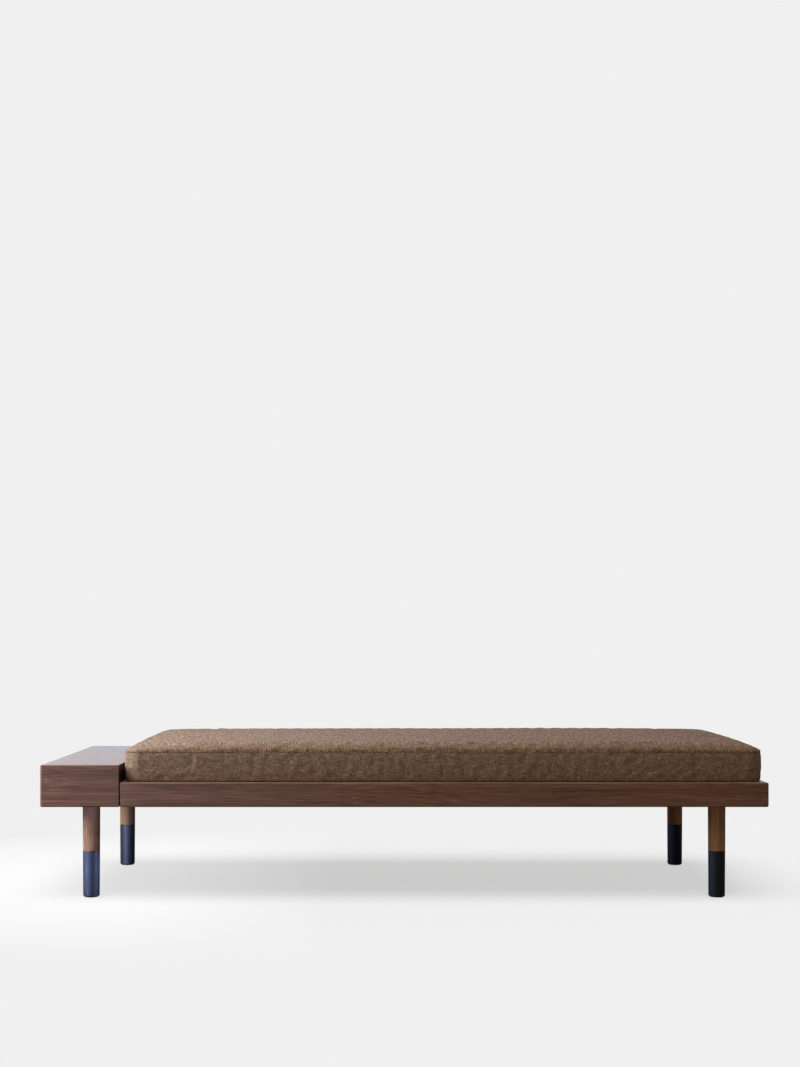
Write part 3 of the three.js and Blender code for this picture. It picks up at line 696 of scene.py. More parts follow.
class Palette(dict):
    """The finishes' materials by name."""

    def fill(self) -> None:
        """Makes every finish of the divan."""
        tones = {
            "dark": (0.060, 0.0240, 0.0118),
            "middle": (0.136, 0.0575, 0.0285),
            "light": (0.236, 0.112, 0.0585),
        }
        # Walnut tones at a quarter: painted shade for the box's inner panel, whose gap beside the
        # mattress lies in shade.
        painted_shade_tones = {name: scaled(tone, 0.25) for name, tone in tones.items()}
        walnut = {
            "warm": (0.59, 0.45, 0.40),
            "cool": (0.45, 0.49, 0.54),
            "coat": 0.05,
            "wear": 0.04,
        }
        beech = {
            "dark": (0.38, 0.23, 0.13),
            "middle": (0.56, 0.37, 0.22),
            "light": (0.68, 0.48, 0.31),
            "warm": (0.54, 0.49, 0.45),
            "cool": (0.49, 0.50, 0.50),
            "streak_width": 1.6 * MM,
            "streak_length": 45 * MM,
            "roughness": 0.55,
            "wear": 0.2,
        }
        black, dusty = (0.0034, 0.0028, 0.0028), (0.015, 0.013, 0.013)
        zinc, nylon, teeth = (0.5, 0.5, 0.49), (0.016, 0.016, 0.017), (0.030, 0.020, 0.014)
        effects = Effects(grain_group(), wear_group(), weave_group())
        for finish in (
            Wood("walnut_along", GrainAxis.ALONG, **tones, **walnut),
            Wood("walnut_across", GrainAxis.ACROSS, **tones, **walnut),
            Wood("walnut_shaded", GrainAxis.ACROSS, **painted_shade_tones, **walnut),
            Wood(
                "leg_walnut",
                GrainAxis.UPRIGHT,
                dark=(0.143, 0.060, 0.021),
                middle=(0.266, 0.119, 0.044),
                light=(0.386, 0.190, 0.080),
                warm=(0.56, 0.48, 0.42),
                cool=(0.46, 0.48, 0.50),
                band_width=12 * MM,
                roughness=0.65,
            ),
            Wood("beech_along", GrainAxis.ALONG, **beech),
            Wood("beech_across", GrainAxis.ACROSS, **beech),
            Coating(
                "black_lacquer",
                black,
                dusty,
                dusty,
                roughness=(0.58, 0.68),
                cloud=(35.0, 3.0, 0.5),
                cloud_range=(*NOISE_RANGE, 0.0, 0.25),
                grain=(420.0, 2.0, 0.5),
                relief=(0.03 * MM, 0.5),
                rough_by_grain=False,
                wear=0.35,
                patch=30 * MM,
                specular=0.24,
                specular_tint=(1.0, 0.98, 1.0),
            ),
            Coating(
                "zinc_steel",
                scaled(zinc, 0.62),
                zinc,
                scaled(zinc, 1.35),
                roughness=(0.44, 0.28),
                cloud=(160.0, 4.0, 0.6),
                cloud_range=(0.35, 0.65, 0.0, 1.0),
                grain=((2500.0, 300.0, 2500.0), 2.0, 0.5),
                relief=(0.02 * MM, 0.4),
                rough_by_grain=False,
                wear=0.6,
                patch=4 * MM,
                metallic=1.0,
            ),
            Coating("nylon", nylon, scaled(nylon, 3.5), scaled(nylon, 3.5), (0.56, 0.70)),
            Coating("zip_teeth", teeth, scaled(teeth, 3.5), scaled(teeth, 3.5), (0.36, 0.50)),
            Cloth(
                "brown_weave", (0.070, 0.036, 0.0190), (0.175, 0.092, 0.049), (0.360, 0.208, 0.124)
            ),
            Cloth(
                "zip_cloth",
                (0.016, 0.010, 0.007),
                (0.045, 0.029, 0.019),
                (0.08, 0.055, 0.038),
                pitch=0.8 * MM,
                specks=0.1,
            ),
            Foam("foam"),
        ):
            self[finish.name] = finish.material(effects)


palette = Palette()


@dataclass
class Shape:
    """A closed surface: its points, and its faces as rows of point numbers."""

    points: np.ndarray
    faces: list[np.ndarray]

    def joined(self, other: "Shape") -> "Shape":
        """This surface and another one side by side in one.

        Args:
            other: the other closed surface.

        Returns:
            One surface of both.
        """
        count = len(self.points)
        points = np.concatenate([self.points, other.points])
        return Shape(points, self.faces + [block + count for block in other.faces])


def quads(
    rows: int, columns: int, wrap_rows: bool = False, wrap_columns: bool = False
) -> np.ndarray:
    """Point numbers of the four-sided faces of a grid, numbered row by row.

    Args:
        rows: points along the first parameter.
        columns: points along the second one.
        wrap_rows: whether the last row joins the first.
        wrap_columns: whether the last column joins the first.

    Returns:
        One face for each row: (i, j), (i+1, j), (i+1, j+1), (i, j+1).
    """
    i = np.arange(rows if wrap_rows else rows - 1)[:, None]
    j = np.arange(columns if wrap_columns else columns - 1)[None, :]
    i, j = np.broadcast_arrays(i, j)
    next_i, next_j = (i + 1) % rows, (j + 1) % columns
    corners = [(i, j), (next_i, j), (next_i, next_j), (i, next_j)]
    return np.stack([row * columns + column for row, column in corners], axis=-1).reshape(-1, 4)


def box_of(node: str) -> tuple[np.ndarray, np.ndarray]:
    """A node's lowest and highest corner."""
    low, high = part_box(node)
    return np.array(low), np.array(high)


def rows_of(data: bpy.types.bpy_prop_collection, name: str = "co") -> np.ndarray:
    """Reads a vector of each of a mesh's points.

    Args:
        data: the mesh's points.
        name: which of their vectors.

    Returns:
        Rows of three numbers.
    """
    values = np.empty(len(data) * 3)
    data.foreach_get(name, values)
    return values.reshape(-1, 3)


def mount(piece: bpy.types.Object, body: str, node: str) -> None:
    """Has a piece ride on its body and stand for its node.

    Args:
        piece: the piece.
        body: the body that it rides on.
        node: the node that it replaces.
    """
    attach(piece, body)
    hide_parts(node)


def make_piece(
    name: str, shape: Shape, material: str, merge: float = 0.0, sharp_angle: float = 38.0
) -> bpy.types.Object:
    """Puts a surface into a new object at the origin.

    Args:
        name: the piece's name.
        shape: its surface, in metres in the frame.
        material: its finish.
        merge: points closer than this become one, where it isn't 0.
        sharp_angle: edges that turn more than this many degrees stay sharp.

    Returns:
        The new object.
    """
    mesh = bpy.data.meshes.new(name)
    faces = [row for block in shape.faces for row in block.tolist()]
    mesh.from_pydata(shape.points.tolist(), [], faces)
    if merge:
        work = bmesh.new()
        work.from_mesh(mesh)
        bmesh.ops.remove_doubles(work, verts=work.verts, dist=merge)
        bmesh.ops.dissolve_degenerate(work, edges=work.edges, dist=merge * 0.1)
        work.to_mesh(mesh)
        work.free()
    mesh.polygons.foreach_set("use_smooth", np.ones(len(mesh.polygons), dtype=bool))
    mesh.set_sharp_from_angle(angle=math.radians(sharp_angle))
    mesh.materials.append(palette[material])
    piece = bpy.data.objects.new(name, mesh)
    bpy.context.scene.collection.objects.link(piece)
    return piece


def dress_board(piece: bpy.types.Object, node: str, number: int) -> None:
    """Gives a board its own stretch of grain, and has it ride and stand for its node.

    Args:
        piece: the board.
        node: the node that it replaces.
        number: its place among the boards.
    """
    shift = (BOARD_STEP * number + BOARD_START).astype(np.float32)
    attribute = piece.data.attributes.new("board_shift", "FLOAT_VECTOR", "POINT")
    attribute.data.foreach_set("vector", np.tile(shift, len(piece.data.vertices)))
    mount(piece, "frame", node)
    log.info("board %s", node)


def rounding_lines(
    radii: Sequence[float], steps: int = 4, closest: float = 0.25 * MM
) -> np.ndarray:
    """How far from an edge the lines of a grid lie so that they divide its rounding evenly.

    A line seen at angle t from the arc's centre lies radius x (1 - tan t) from the edge.

    Args:
        radii: the roundings that meet at the edge.
        steps: lines for half of each rounding.
        closest: the least way between two lines.

    Returns:
        The distances, smallest first.
    """
    angles = np.linspace(math.pi / 4, 0.0, steps + 1)
    keep = [0.0]
    for line in np.sort(np.concatenate([radius * (1 - np.tan(angles)) for radius in radii])):
        if line - keep[-1] > closest:
            keep.append(float(line))
    return np.array(keep)


def board_lines(
    length: float, low: Sequence[float], high: Sequence[float], span: float = 60 * MM
) -> np.ndarray:
    """Grid lines across a board, dense where its edges are rounded.

    Args:
        length: the board's size that way.
        low: the roundings at its low edge.
        high: the roundings at its high edge.
        span: the longest plain stretch.

    Returns:
        Lines as shares of the length, from 0 to 1.
    """
    start = rounding_lines(low) if low else np.zeros(1)
    end = length - rounding_lines(high)[::-1] if high else np.array([length])
    count = max(int(math.ceil((end[0] - start[-1]) / span)), 1)
    middle = np.linspace(start[-1], end[0], count + 1)[1:-1]
    return np.concatenate([start, middle, end]) / length


def box_corners(low: np.ndarray, high: np.ndarray) -> np.ndarray:
    """The eight corners of a plain box, as hexahedron takes them."""
    index = np.stack(np.meshgrid(*[[0, 1]] * 3, indexing="ij"), axis=-1)
    return np.where(index == 0, low, high)


def hexahedron(corners: np.ndarray, lines: Sequence[np.ndarray]) -> Shape:
    """The surface of a six-sided board: its eight corners blended in three directions on a grid.

    Args:
        corners: the corner at each low or high end of the three axes, as an array of 2 x 2 x 2 x 3.
        lines: the grid lines along each axis, from 0 to 1.

    Returns:
        A closed surface whose faces point outwards.
    """
    blocks, faces, count = [], [], 0
    for axis in range(3):
        first, second = (axis + 1) % 3, (axis + 2) % 3
        for side in (0, 1):
            u, v = np.meshgrid(lines[first], lines[second], indexing="ij")
            unit = np.empty((*u.shape, 3))
            unit[..., axis], unit[..., first], unit[..., second] = side, u, v
            rows = quads(*u.shape) + count
            faces.append(rows if side else rows[:, ::-1])
            blocks.append(unit.reshape(-1, 3))
            count += u.size
    unit = np.concatenate(blocks)
    rounded = np.round(unit, 7)
    _, keep, renumber = np.unique(rounded, axis=0, return_index=True, return_inverse=True)
    unit = unit[keep]
    x, y, z = (np.stack([1 - unit[:, axis], unit[:, axis]], axis=-1) for axis in range(3))
    points = np.einsum("ni,nj,nk,ijkc->nc", x, y, z, corners)
    return Shape(points, [renumber.reshape(-1)[rows] for rows in faces])


def round_edges(
    points: np.ndarray, low: np.ndarray, high: np.ndarray, radii: Sequence[float | np.ndarray]
) -> np.ndarray:
    """Draws points of a box that lie beyond its roundings back onto them.

    Seen along each axis in turn, a point further than the radius from the arc's centre moves
    straight towards that centre until it is the radius away.

    Args:
        points: the points.
        low: the box's lowest corner.
        high: its highest corner.
        radii: the roundings of the edges along y, along z and along x, alike for all points or not.

    Returns:
        The moved points.
    """
    moved = points.copy()
    for (u, v), radius in zip(((0, 2), (0, 1), (1, 2)), radii):
        centre_u = np.clip(moved[:, u], low[u] + radius, high[u] - radius)
        centre_v = np.clip(moved[:, v], low[v] + radius, high[v] - radius)
        away_u, away_v = moved[:, u] - centre_u, moved[:, v] - centre_v
        share = np.minimum(radius / np.maximum(np.hypot(away_u, away_v), TINY), 1.0)
        moved[:, u] = centre_u + away_u * share
        moved[:, v] = centre_v + away_v * share
    return moved


@dataclass(frozen=True)
class Board:
    """One board that lines a side of a mitred body.

    The side is the low or the high one, as 0 or 1, along its axis. The edges in square, as an axis
    and an end each, aren't mitred.
    """

    node: str
    axis: int
    side: int
    material: str
    square: tuple[tuple[int, int], ...] = ()


@dataclass
class BoardedBody:
    """A body whose sides are boards, mitred where they meet and with its outer edges eased.

    The easings are the roundings at its left end, at its right end, and along its length.
    """

    thickness: float
    easings: Triple
    first_number: int
    boards: tuple[Board, ...]
    joint_gap: float = 0.3 * MM / math.sqrt(2)

    def __post_init__(self) -> None:
        """Takes the body's place from its boards' nodes."""
        boxes = np.array([box_of(board.node) for board in self.boards])
        self.low, self.high = boxes[:, 0].min(axis=0), boxes[:, 1].max(axis=0)

    def corners(self, board: Board) -> np.ndarray:
        """The eight corners of one board.

        A mitred edge is drawn in by the joint's gap and by the depth under the outer face, and a
        square edge isn't.

        Args:
            board: the board.

        Returns:
            The corners as hexahedron takes them.
        """
        corners = np.empty((2, 2, 2, 3))
        for index in np.ndindex(2, 2, 2):
            inwards = index[board.axis] != board.side
            depth = self.thickness if inwards else 0.0
            for axis in range(3):
                drawn = 0.0 if (axis, index[axis]) in board.square else self.joint_gap + depth
                end = index[axis]
                if axis == board.axis:
                    drawn, end = depth, board.side
                corners[index][axis] = self.high[axis] - drawn if end else self.low[axis] + drawn
        return corners

    def lines(self, board: Board, corners: np.ndarray) -> list[np.ndarray]:
        """The grid lines of one board, dense at the eased edges.

        Args:
            board: the board.
            corners: its corners.

        Returns:
            The lines along each axis.
        """
        size = np.ptp(corners.reshape(-1, 3), axis=0)
        result = []
        for axis in range(3):
            if axis == board.axis:
                outer = [self.easings[2] if axis else self.easings[board.side]]
                low, high = ([], outer) if board.side else (outer, [])
            elif axis == 0:
                low, high = [self.easings[0]], [self.easings[1]]
            else:
                low = high = sorted(set(self.easings))
            result.append(board_lines(size[axis], low, high))
        return result

    def build(self) -> None:
        """Makes the boards and has each stand for its node."""
        middle = (self.low[0] + self.high[0]) / 2
        for number, board in enumerate(self.boards, self.first_number):
            corners = self.corners(board)
            shape = hexahedron(corners, self.lines(board, corners))
            ends = np.where(shape.points[:, 0] < middle, *self.easings[:2])
            radii = (ends, ends, self.easings[2])
            shape.points = round_edges(shape.points, self.low, self.high, radii)
            piece = make_piece("oiled_" + board.node, shape, board.material, merge=MERGE)
            dress_board(piece, board.node, number)


@dataclass
class BoxTable(BoardedBody):
    """The closed box at the left end, whose top is a low table."""

    thickness: float = 20 * MM
    easings: Triple = (6 * MM, 1 * MM, 3 * MM)
    first_number: int = 1
    boards: tuple[Board, ...] = (
        Board("box_front_panel", 1, 0, "walnut_along", ((2, 0),)),
        Board("box_back_panel", 1, 1, "walnut_along", ((2, 0),)),
        Board("box_outer_panel", 0, 0, "walnut_across", ((2, 0),)),
        # The inner panel's walnut is darkened as painted shade for the gap beside the mattress.
        Board("box_inner_panel", 0, 1, "walnut_shaded", ((2, 0),)),
        Board("box_top_panel", 2, 1, "walnut_across"),
    )


@dataclass
class LongFrame(BoardedBody):
    """The long frame of rails, mitred at its right end and square at the shadow gap."""

    thickness: float = 25 * MM
    easings: Triple = (1 * MM, 6 * MM, 3 * MM)
    first_number: int = 7
    boards: tuple[Board, ...] = (
        Board("front_rail", 1, 0, "walnut_along", ((0, 0), (2, 0), (2, 1))),
        Board("back_rail", 1, 1, "walnut_along", ((0, 0), (2, 0), (2, 1))),
        Board("end_rail", 0, 1, "walnut_across", ((2, 0), (2, 1))),
    )


@dataclass
class SlattedDeck:
    """The deck's slats: their long edges are rounded more than their ends."""

    edge: float = 3 * MM
    end_edge: float = 0.8 * MM
    span: float = 90 * MM
    count: int = 12
    first_number: int = 13

    def build(self) -> None:
        """Makes the slats."""
        edges = [self.end_edge, self.edge]
        for place in range(self.count):
            node = f"slat_{place + 1:02d}"
            low, high = box_of(node)
            lines = [board_lines(size, edges, edges, self.span) for size in high - low]
            shape = hexahedron(box_corners(low, high), lines)
            radii = (self.edge, self.end_edge, self.end_edge)
            shape.points = round_edges(shape.points, low, high, radii)
            piece = make_piece("planed_" + node, shape, "beech_across", merge=MERGE)
            dress_board(piece, node, self.first_number + place)


def rounded_profile(
    points: Sequence[tuple[float, float]], radius: float, steps: int = 4, most: float = 0.45
) -> np.ndarray:
    """A line of [radius, height] points with its inner corners rounded.

    Each corner becomes a curve pulled towards it: start x (1-t)^2 + corner x 2t(1-t) + end x t^2,
    between points that lie the rounding's radius away from it on both sides.

    Args:
        points: the line.
        radius: the rounding.
        steps: points on each curve.
        most: the largest share of a short side that a rounding takes.

    Returns:
        The rounded line.
    """
    line = np.array(points, dtype=float)
    result = [line[:1]]
    share = np.linspace(0.0, 1.0, steps + 1)[:, None]
    for before, corner, after in zip(line[:-2], line[1:-1], line[2:]):
        ways = [before - corner, after - corner]
        lengths = [np.linalg.norm(way) for way in ways]
        reach = min(radius, most * min(lengths))
        start, end = (corner + way / length * reach for way, length in zip(ways, lengths))
        curve = start * (1 - share) ** 2 + corner * 2 * share * (1 - share) + end * share**2
        result.append(curve)
    result.append(line[-1:])
    return np.concatenate(result)


def turned(
    profile: np.ndarray, centre: Sequence[float], steps: int = 64, ring: bool = False
) -> Shape:
    """A line of [radius, height] points carried round an upright axis.

    Args:
        profile: the line, from its foot upwards on the outside.
        centre: the axis, in x and y.
        steps: points round it.
        ring: whether the line closes on itself, and else its ends lie on the axis.

    Returns:
        A closed surface whose faces point outwards.
    """
    angles = np.linspace(0.0, 2 * math.pi, steps, endpoint=False)
    body = profile if ring else profile[1:-1]
    radius, height = body[:, :1], body[:, 1:]
    x = centre[0] + radius * np.cos(angles)
    y = centre[1] + radius * np.sin(angles)
    points = np.stack([x, y, np.broadcast_to(height, x.shape)], axis=-1).reshape(-1, 3)
    faces = [quads(len(body), steps, wrap_rows=ring, wrap_columns=True)[:, ::-1]]
    if not ring:
        poles = np.array([[*centre, profile[0, 1]], [*centre, profile[-1, 1]]])
        foot = np.full(steps, len(points))
        low = np.arange(steps)
        high = low + (len(body) - 1) * steps
        faces.append(np.stack([foot, np.roll(low, -1), low], axis=-1))
        faces.append(np.stack([foot + 1, high, np.roll(high, -1)], axis=-1))
        points = np.concatenate([points, poles])
    return Shape(points, faces)


@dataclass
class Leg:
    """One leg: a tapered walnut shank, a black sleeve round its lower half, and a glide."""

    place: str
    number: int
    top_diameter: float = 46 * MM
    foot_diameter: float = 43.6 * MM
    sleeve_wall: float = 2 * MM
    sleeve_floor: float = 3 * MM
    sleeve_hole: float = 1.5 * MM
    glide_stem: float = 2.5 * MM
    glide_bevel: float = 1.2 * MM
    gap: float = 0.3 * MM
    edge: float = 0.7 * MM

    def build(self) -> None:
        """Makes the leg's three pieces."""
        low, high = box_of("leg_shank_" + self.place)
        sleeve_low, sleeve_high = box_of("leg_sleeve_" + self.place)
        glide_low, glide_high = box_of("leg_glide_" + self.place)
        centre = ((low + high) / 2)[:2]
        foot, top = sleeve_low[2], high[2]

        def radius(height: float) -> float:
            """The leg's radius at a height: a straight taper from the foot to the top."""
            return np.interp(height, (foot, top), (self.foot_diameter, self.top_diameter)) / 2

        bore = self.foot_diameter / 2 - self.sleeve_wall
        spigot, seam = bore - self.gap, sleeve_high[2] + self.gap
        shank = rounded_profile([
            (0.0, low[2]), (spigot, low[2]), (spigot, seam),
            (radius(seam), seam), (radius(top), top), (0.0, top),
        ], self.edge)
        piece = make_piece("turned_shank_" + self.place, turned(shank, centre), "leg_walnut")
        dress_board(piece, "leg_shank_" + self.place, self.number)

        rim, floor, hole = sleeve_high[2], foot + self.sleeve_floor, self.sleeve_hole
        sleeve = rounded_profile([
            (hole, foot), (radius(foot) - 0.2 * MM, foot), (radius(rim), rim),
            (bore, rim), (bore, floor), (hole, floor), (hole, foot),
        ], self.edge)[:-1]
        shape = turned(sleeve, centre, ring=True)
        piece = make_piece("lacquered_sleeve_" + self.place, shape, "black_lacquer")
        mount(piece, "frame", "leg_sleeve_" + self.place)

        half = (glide_high[0] - glide_low[0]) / 2
        base, stem, bevel = glide_low[2], self.glide_stem, self.glide_bevel
        disc = rounded_profile([
            (0.0, base), (half - bevel, base), (half, base + bevel),
            (half, foot), (stem, foot), (stem, glide_high[2]), (0.0, glide_high[2]),
        ], 0.5 * MM)
        piece = make_piece("moulded_glide_" + self.place, turned(disc, centre, 48), "nylon")
        mount(piece, "frame", "leg_glide_" + self.place)


@dataclass
class Mattress:
    """The mattress: a crowned cover with a sewn border, and the foam in it."""

    corner: float = 45 * MM
    corner_blend: float = 14 * MM
    base_seam: float = 5 * MM
    base_roll: float = 4 * MM
    seam: float = 75.6 * MM
    seam_half_width: float = 2 * MM
    # The share of the painted seam shade that the top's rim rows get.
    seam_side: float = 0.25
    shoulder: float = 101 * MM
    shoulder_run: float = 55 * MM
    shoulder_fullness: float = 2.5
    crown: float = 6 * MM
    bulge: float = 1.5 * MM
    pinch: float = 0.8 * MM
    droop: tuple[float, float] = (9.5 * MM, 2 * MM)
    droop_reach: float = 100 * MM
    end_droop: tuple[float, float] = (9 * MM, 1 * MM)
    end_reach: float = 50 * MM
    puff: float = 2.6 * MM
    puff_place: float = 420 * MM
    puff_reach: float = 260 * MM
    puff_at_sides: float = 0.4
    zip_middle: float = 42 * MM
    zip_half: float = 6.4 * MM
    zip_lip: float = 1.2 * MM
    zip_sink: float = 1.9 * MM
    zip_hold: tuple[float, float] = (9 * MM, 4 * MM)
    bulge_fullness: float = 0.55
    flat_from: float = 0.875
    lines_in: tuple[float, ...] = (0.0, 0.9, 3.4, 7.6, 13.2, 20.0, 27.6, 35.6, 45.0, 55.0)
    spacing: float = 13 * MM
    swell: float = 5 * MM
    foam_hold: float = 0.3
    seam_hold: float = 0.6
    foam_inset: float = 7 * MM
    frames: int = 20

    def __post_init__(self) -> None:
        """Takes the mattress's place from the frame."""
        low, high = box_of("mattress_cover")
        self.middle = (low + high) / 2
        self.half = (high - low)[:2] / 2
        self.seat = low[2]
        self.zip_ends = [corner[0] for corner in box_of("zip_tape")]

    def axis_lines(self, half: float, extra: Sequence[float] = ()) -> np.ndarray:
        """Grid lines along one axis as signed distances from the middle, on the seam's outline.

        Args:
            half: half of the mattress's size that way.
            extra: places that need a line of their own.

        Returns:
            The lines, lowest first.
        """
        rim = half - self.bulge - np.array(self.lines_in) * MM
        count = int(round(2 * rim[-1] / self.spacing))
        plain = np.linspace(-rim[-1], rim[-1], count + 1)[1:-1]
        for place in extra:
            plain = plain[np.abs(plain - place) > 0.4 * self.spacing]
        return np.sort(np.concatenate([-rim, plain, rim[::-1], np.array(extra)]))

    def plan(self, inset: float) -> list[np.ndarray]:
        """The grid in plan when its outline is drawn in by an inset.

        Lines past the corners' centres keep their share of the way to the rim. In the corner
        squares a place (a, b) moves to (a x sqrt(1 - b^2/2), b x sqrt(1 - a^2/2)), which turns the
        square into a quarter disc.

        Args:
            inset: how far the outline lies inside the widest one.

        Returns:
            The x and y of each grid point.
        """
        inner = self.half - self.corner
        over = [
            np.clip((np.abs(lines) - inner[axis]) / (self.corner - self.bulge), 0.0, 1.0)
            for axis, lines in enumerate(self.lines)
        ]
        shares = np.meshgrid(*over, indexing="ij")
        result = []
        for axis, lines in enumerate(np.meshgrid(*self.lines, indexing="ij")):
            out = shares[axis] * np.sqrt(1 - shares[1 - axis] ** 2 / 2)
            plain = np.minimum(np.abs(lines), inner[axis])
            result.append(np.sign(lines) * (plain + (self.corner - inset) * out))
        return result

    def depth_in(self, x: np.ndarray, y: np.ndarray) -> np.ndarray:
        """How far inside the seam's outline a place lies, with the mitre at the corners softened.

        Args:
            x: places along the mattress.
            y: places across it.

        Returns:
            The distances.
        """
        over_x, over_y = (
            np.abs(place) - (half - self.corner) for place, half in zip((x, y), self.half)
        )
        outside = np.hypot(np.maximum(over_x, 0), np.maximum(over_y, 0))
        soft = self.corner_blend
        blend = np.maximum(soft - np.abs(over_x - over_y), 0) / soft
        inside = np.minimum(np.maximum(over_x, over_y) + blend**2 * soft / 4, 0)
        return self.corner - self.bulge - outside - inside

    def crowned(self, x: np.ndarray, y: np.ndarray) -> np.ndarray:
        """How far the top swells above the shoulder.

        The crown falls off with the square of the way to each side. One fuller stretch right of the
        middle adds a bell curve along x, which is lower at the front and the back. Each corner
        droops by a share that fades with the way from both of its edges, and each end by one that
        fades with the way from it, both more at the front than at the back.

        Args:
            x: places along the mattress from its middle.
            y: places across it.

        Returns:
            The heights.
        """
        across = 1 - (y / self.half[1]) ** 2
        crown = self.crown * (1 - (x / self.half[0]) ** 2) * across
        bell = np.exp(-(((x - self.puff_place) / self.puff_reach) ** 2))
        puff = self.puff * bell * (self.puff_at_sides + (1 - self.puff_at_sides) * across)
        from_end, from_side = self.half[0] - np.abs(x), self.half[1] - np.abs(y)
        corner, end = (
            np.interp(y, (-self.half[1], self.half[1]), droop)
            for droop in (self.droop, self.end_droop)
        )
        corner = corner * np.exp(-(from_end + from_side) / self.droop_reach)
        return crown + puff - corner - end * np.exp(-from_end / self.end_reach)

    def section(self) -> list[Triple]:
        """The rings between the underside and the top.

        They follow the roll of the underside, which is a quarter of an ellipse, the bulging border,
        which stands out by a power of a half sine, and the pinched seam.

        Returns:
            Each ring's inset, its height and how much it belongs to the seam, lowest first.
        """
        rings = []
        for angle in np.radians([30.0, 60.0]):
            inset = self.bulge + self.base_roll * (1 - math.sin(angle))
            rings.append((inset, self.base_seam * (1 - math.cos(angle)), 0.0))
        border_top = self.seam - self.seam_half_width
        low, high = self.zip_middle - self.zip_half, self.zip_middle + self.zip_half
        zip_rows = [low - self.zip_lip, low, self.zip_middle, high, high + self.zip_lip]
        below = np.linspace(self.base_seam, zip_rows[0], 5)[:-1]
        above = np.linspace(zip_rows[-1], border_top, 5)[1:]
        for height in (*below, *zip_rows, *above):
            share = (height - self.base_seam) / (border_top - self.base_seam)
            out = max(math.sin(math.pi * share), 0.0) ** self.bulge_fullness
            inset = self.bulge * (1 - out)
            sewn = self.seam_side if height >= border_top - 1e-6 else 0.0
            rings.append((inset, height, sewn))
        return [*rings, (self.bulge + self.pinch, self.seam, 1.0)]

    def surface(self) -> tuple[Shape, np.ndarray, np.ndarray, np.ndarray]:
        """The cover as one closed surface.

        The underside and the top are the same grid in plan, with the section's rings between them.
        The shoulder's height follows a quarter of a squarish ellipse over its run:
        (1 - (1 - t)^n)^(1/n), where n is its fullness.

        Returns:
            The surface, each point's ring (below 0 on the two grids), the cloth's flat place for
            each corner of each face, and how much each point belongs to a seam.
        """
        extra = [
            place - self.middle[0]
            for end, way in zip(self.zip_ends, (-1.5 * MM, 1.5 * MM))
            for place in (end + way, end)
        ]
        self.lines = (self.axis_lines(self.half[0], extra), self.axis_lines(self.half[1]))
        size = [len(lines) for lines in self.lines]
        number = np.arange(size[0] * size[1]).reshape(size)
        rim = np.concatenate([number[:-1, 0], number[-1, :-1], number[:0:-1, -1], number[0, :0:-1]])

        x, y = self.plan(self.bulge)
        depth = np.clip(self.depth_in(x, y) / self.shoulder_run, 0, 1)
        rise = (1 - (1 - depth) ** self.shoulder_fullness) ** (1 / self.shoulder_fullness)
        rise.flat[rim] = 0.0
        start = self.seam + self.seam_half_width
        z = start + (self.shoulder - start) * rise + rise * self.crowned(x, y)
        top = np.stack([x, y, z], axis=-1).reshape(-1, 3)
        x, y = self.plan(self.bulge + self.base_roll)
        base = np.stack([x, y, np.zeros_like(x)], axis=-1).reshape(-1, 3)

        section, rings = self.section(), []
        for inset, height, _ in section:
            x, y = self.plan(inset)
            ring = [x.flat[rim], y.flat[rim], np.full(len(rim), height)]
            rings.append(np.stack(ring, axis=-1))
        sewn = np.repeat([share for _, _, share in section], len(rim))
        top_sewn = np.zeros(len(top))
        top_sewn[rim] = self.seam_side
        seam_share = np.concatenate([np.zeros(len(base)), sewn, top_sewn])
        numbers = np.repeat(np.arange(len(rings)), len(rim))
        row_number = np.concatenate([np.full(len(base), -1), numbers, np.full(len(top), -2)])
        points = np.concatenate([base, *rings, top])

        start_top = len(points) - len(top)
        between = np.arange(len(base), start_top).reshape(len(rings), -1)
        loops = np.stack([rim, *between, start_top + rim])
        ahead = np.roll(loops, -1, axis=1)
        wall = np.stack([loops[:-1], ahead[:-1], ahead[1:], loops[1:]], axis=-1)
        grid = quads(*size)
        faces = [grid[:, ::-1], wall.reshape(-1, 4), grid + start_top]

        outline = rings[len(rings) // 2][:, :2]
        steps = np.linalg.norm(np.roll(outline, -1, axis=0) - outline, axis=1)
        along = np.concatenate([[0.0], np.cumsum(steps)])
        roll_length = 6 * MM
        up = np.array([-roll_length] + [height for _, height, _ in section] + [start]) + roll_length
        wall_flat = np.empty((*wall.shape, 2))
        wall_flat[..., 0] = np.stack([along[:-1], along[1:], along[1:], along[:-1]], axis=-1)
        wall_flat[..., 1] = np.stack([up[:-1], up[:-1], up[1:], up[1:]], axis=-1)[:, None]
        base_flat = base[grid[:, ::-1]][..., :2] + np.array([0.0, 3.0])
        top_flat = top[grid][..., :2] + np.array([0.0, 6.0])
        flat = np.concatenate([base_flat, wall_flat.reshape(-1, 4, 2), top_flat]).reshape(-1, 2)
        points = points + np.array([self.middle[0], self.middle[1], self.seat])
        return Shape(points, faces), row_number, flat, seam_share

    def by_zip(self, points: np.ndarray, reach: float, depth: float) -> np.ndarray:
        """Which points lie within a reach of the zip's middle and a depth of the back."""
        height = points[:, 2] - self.seat - self.zip_middle
        return (np.abs(height) < reach) & (points[:, 1] > self.half[1] - depth)

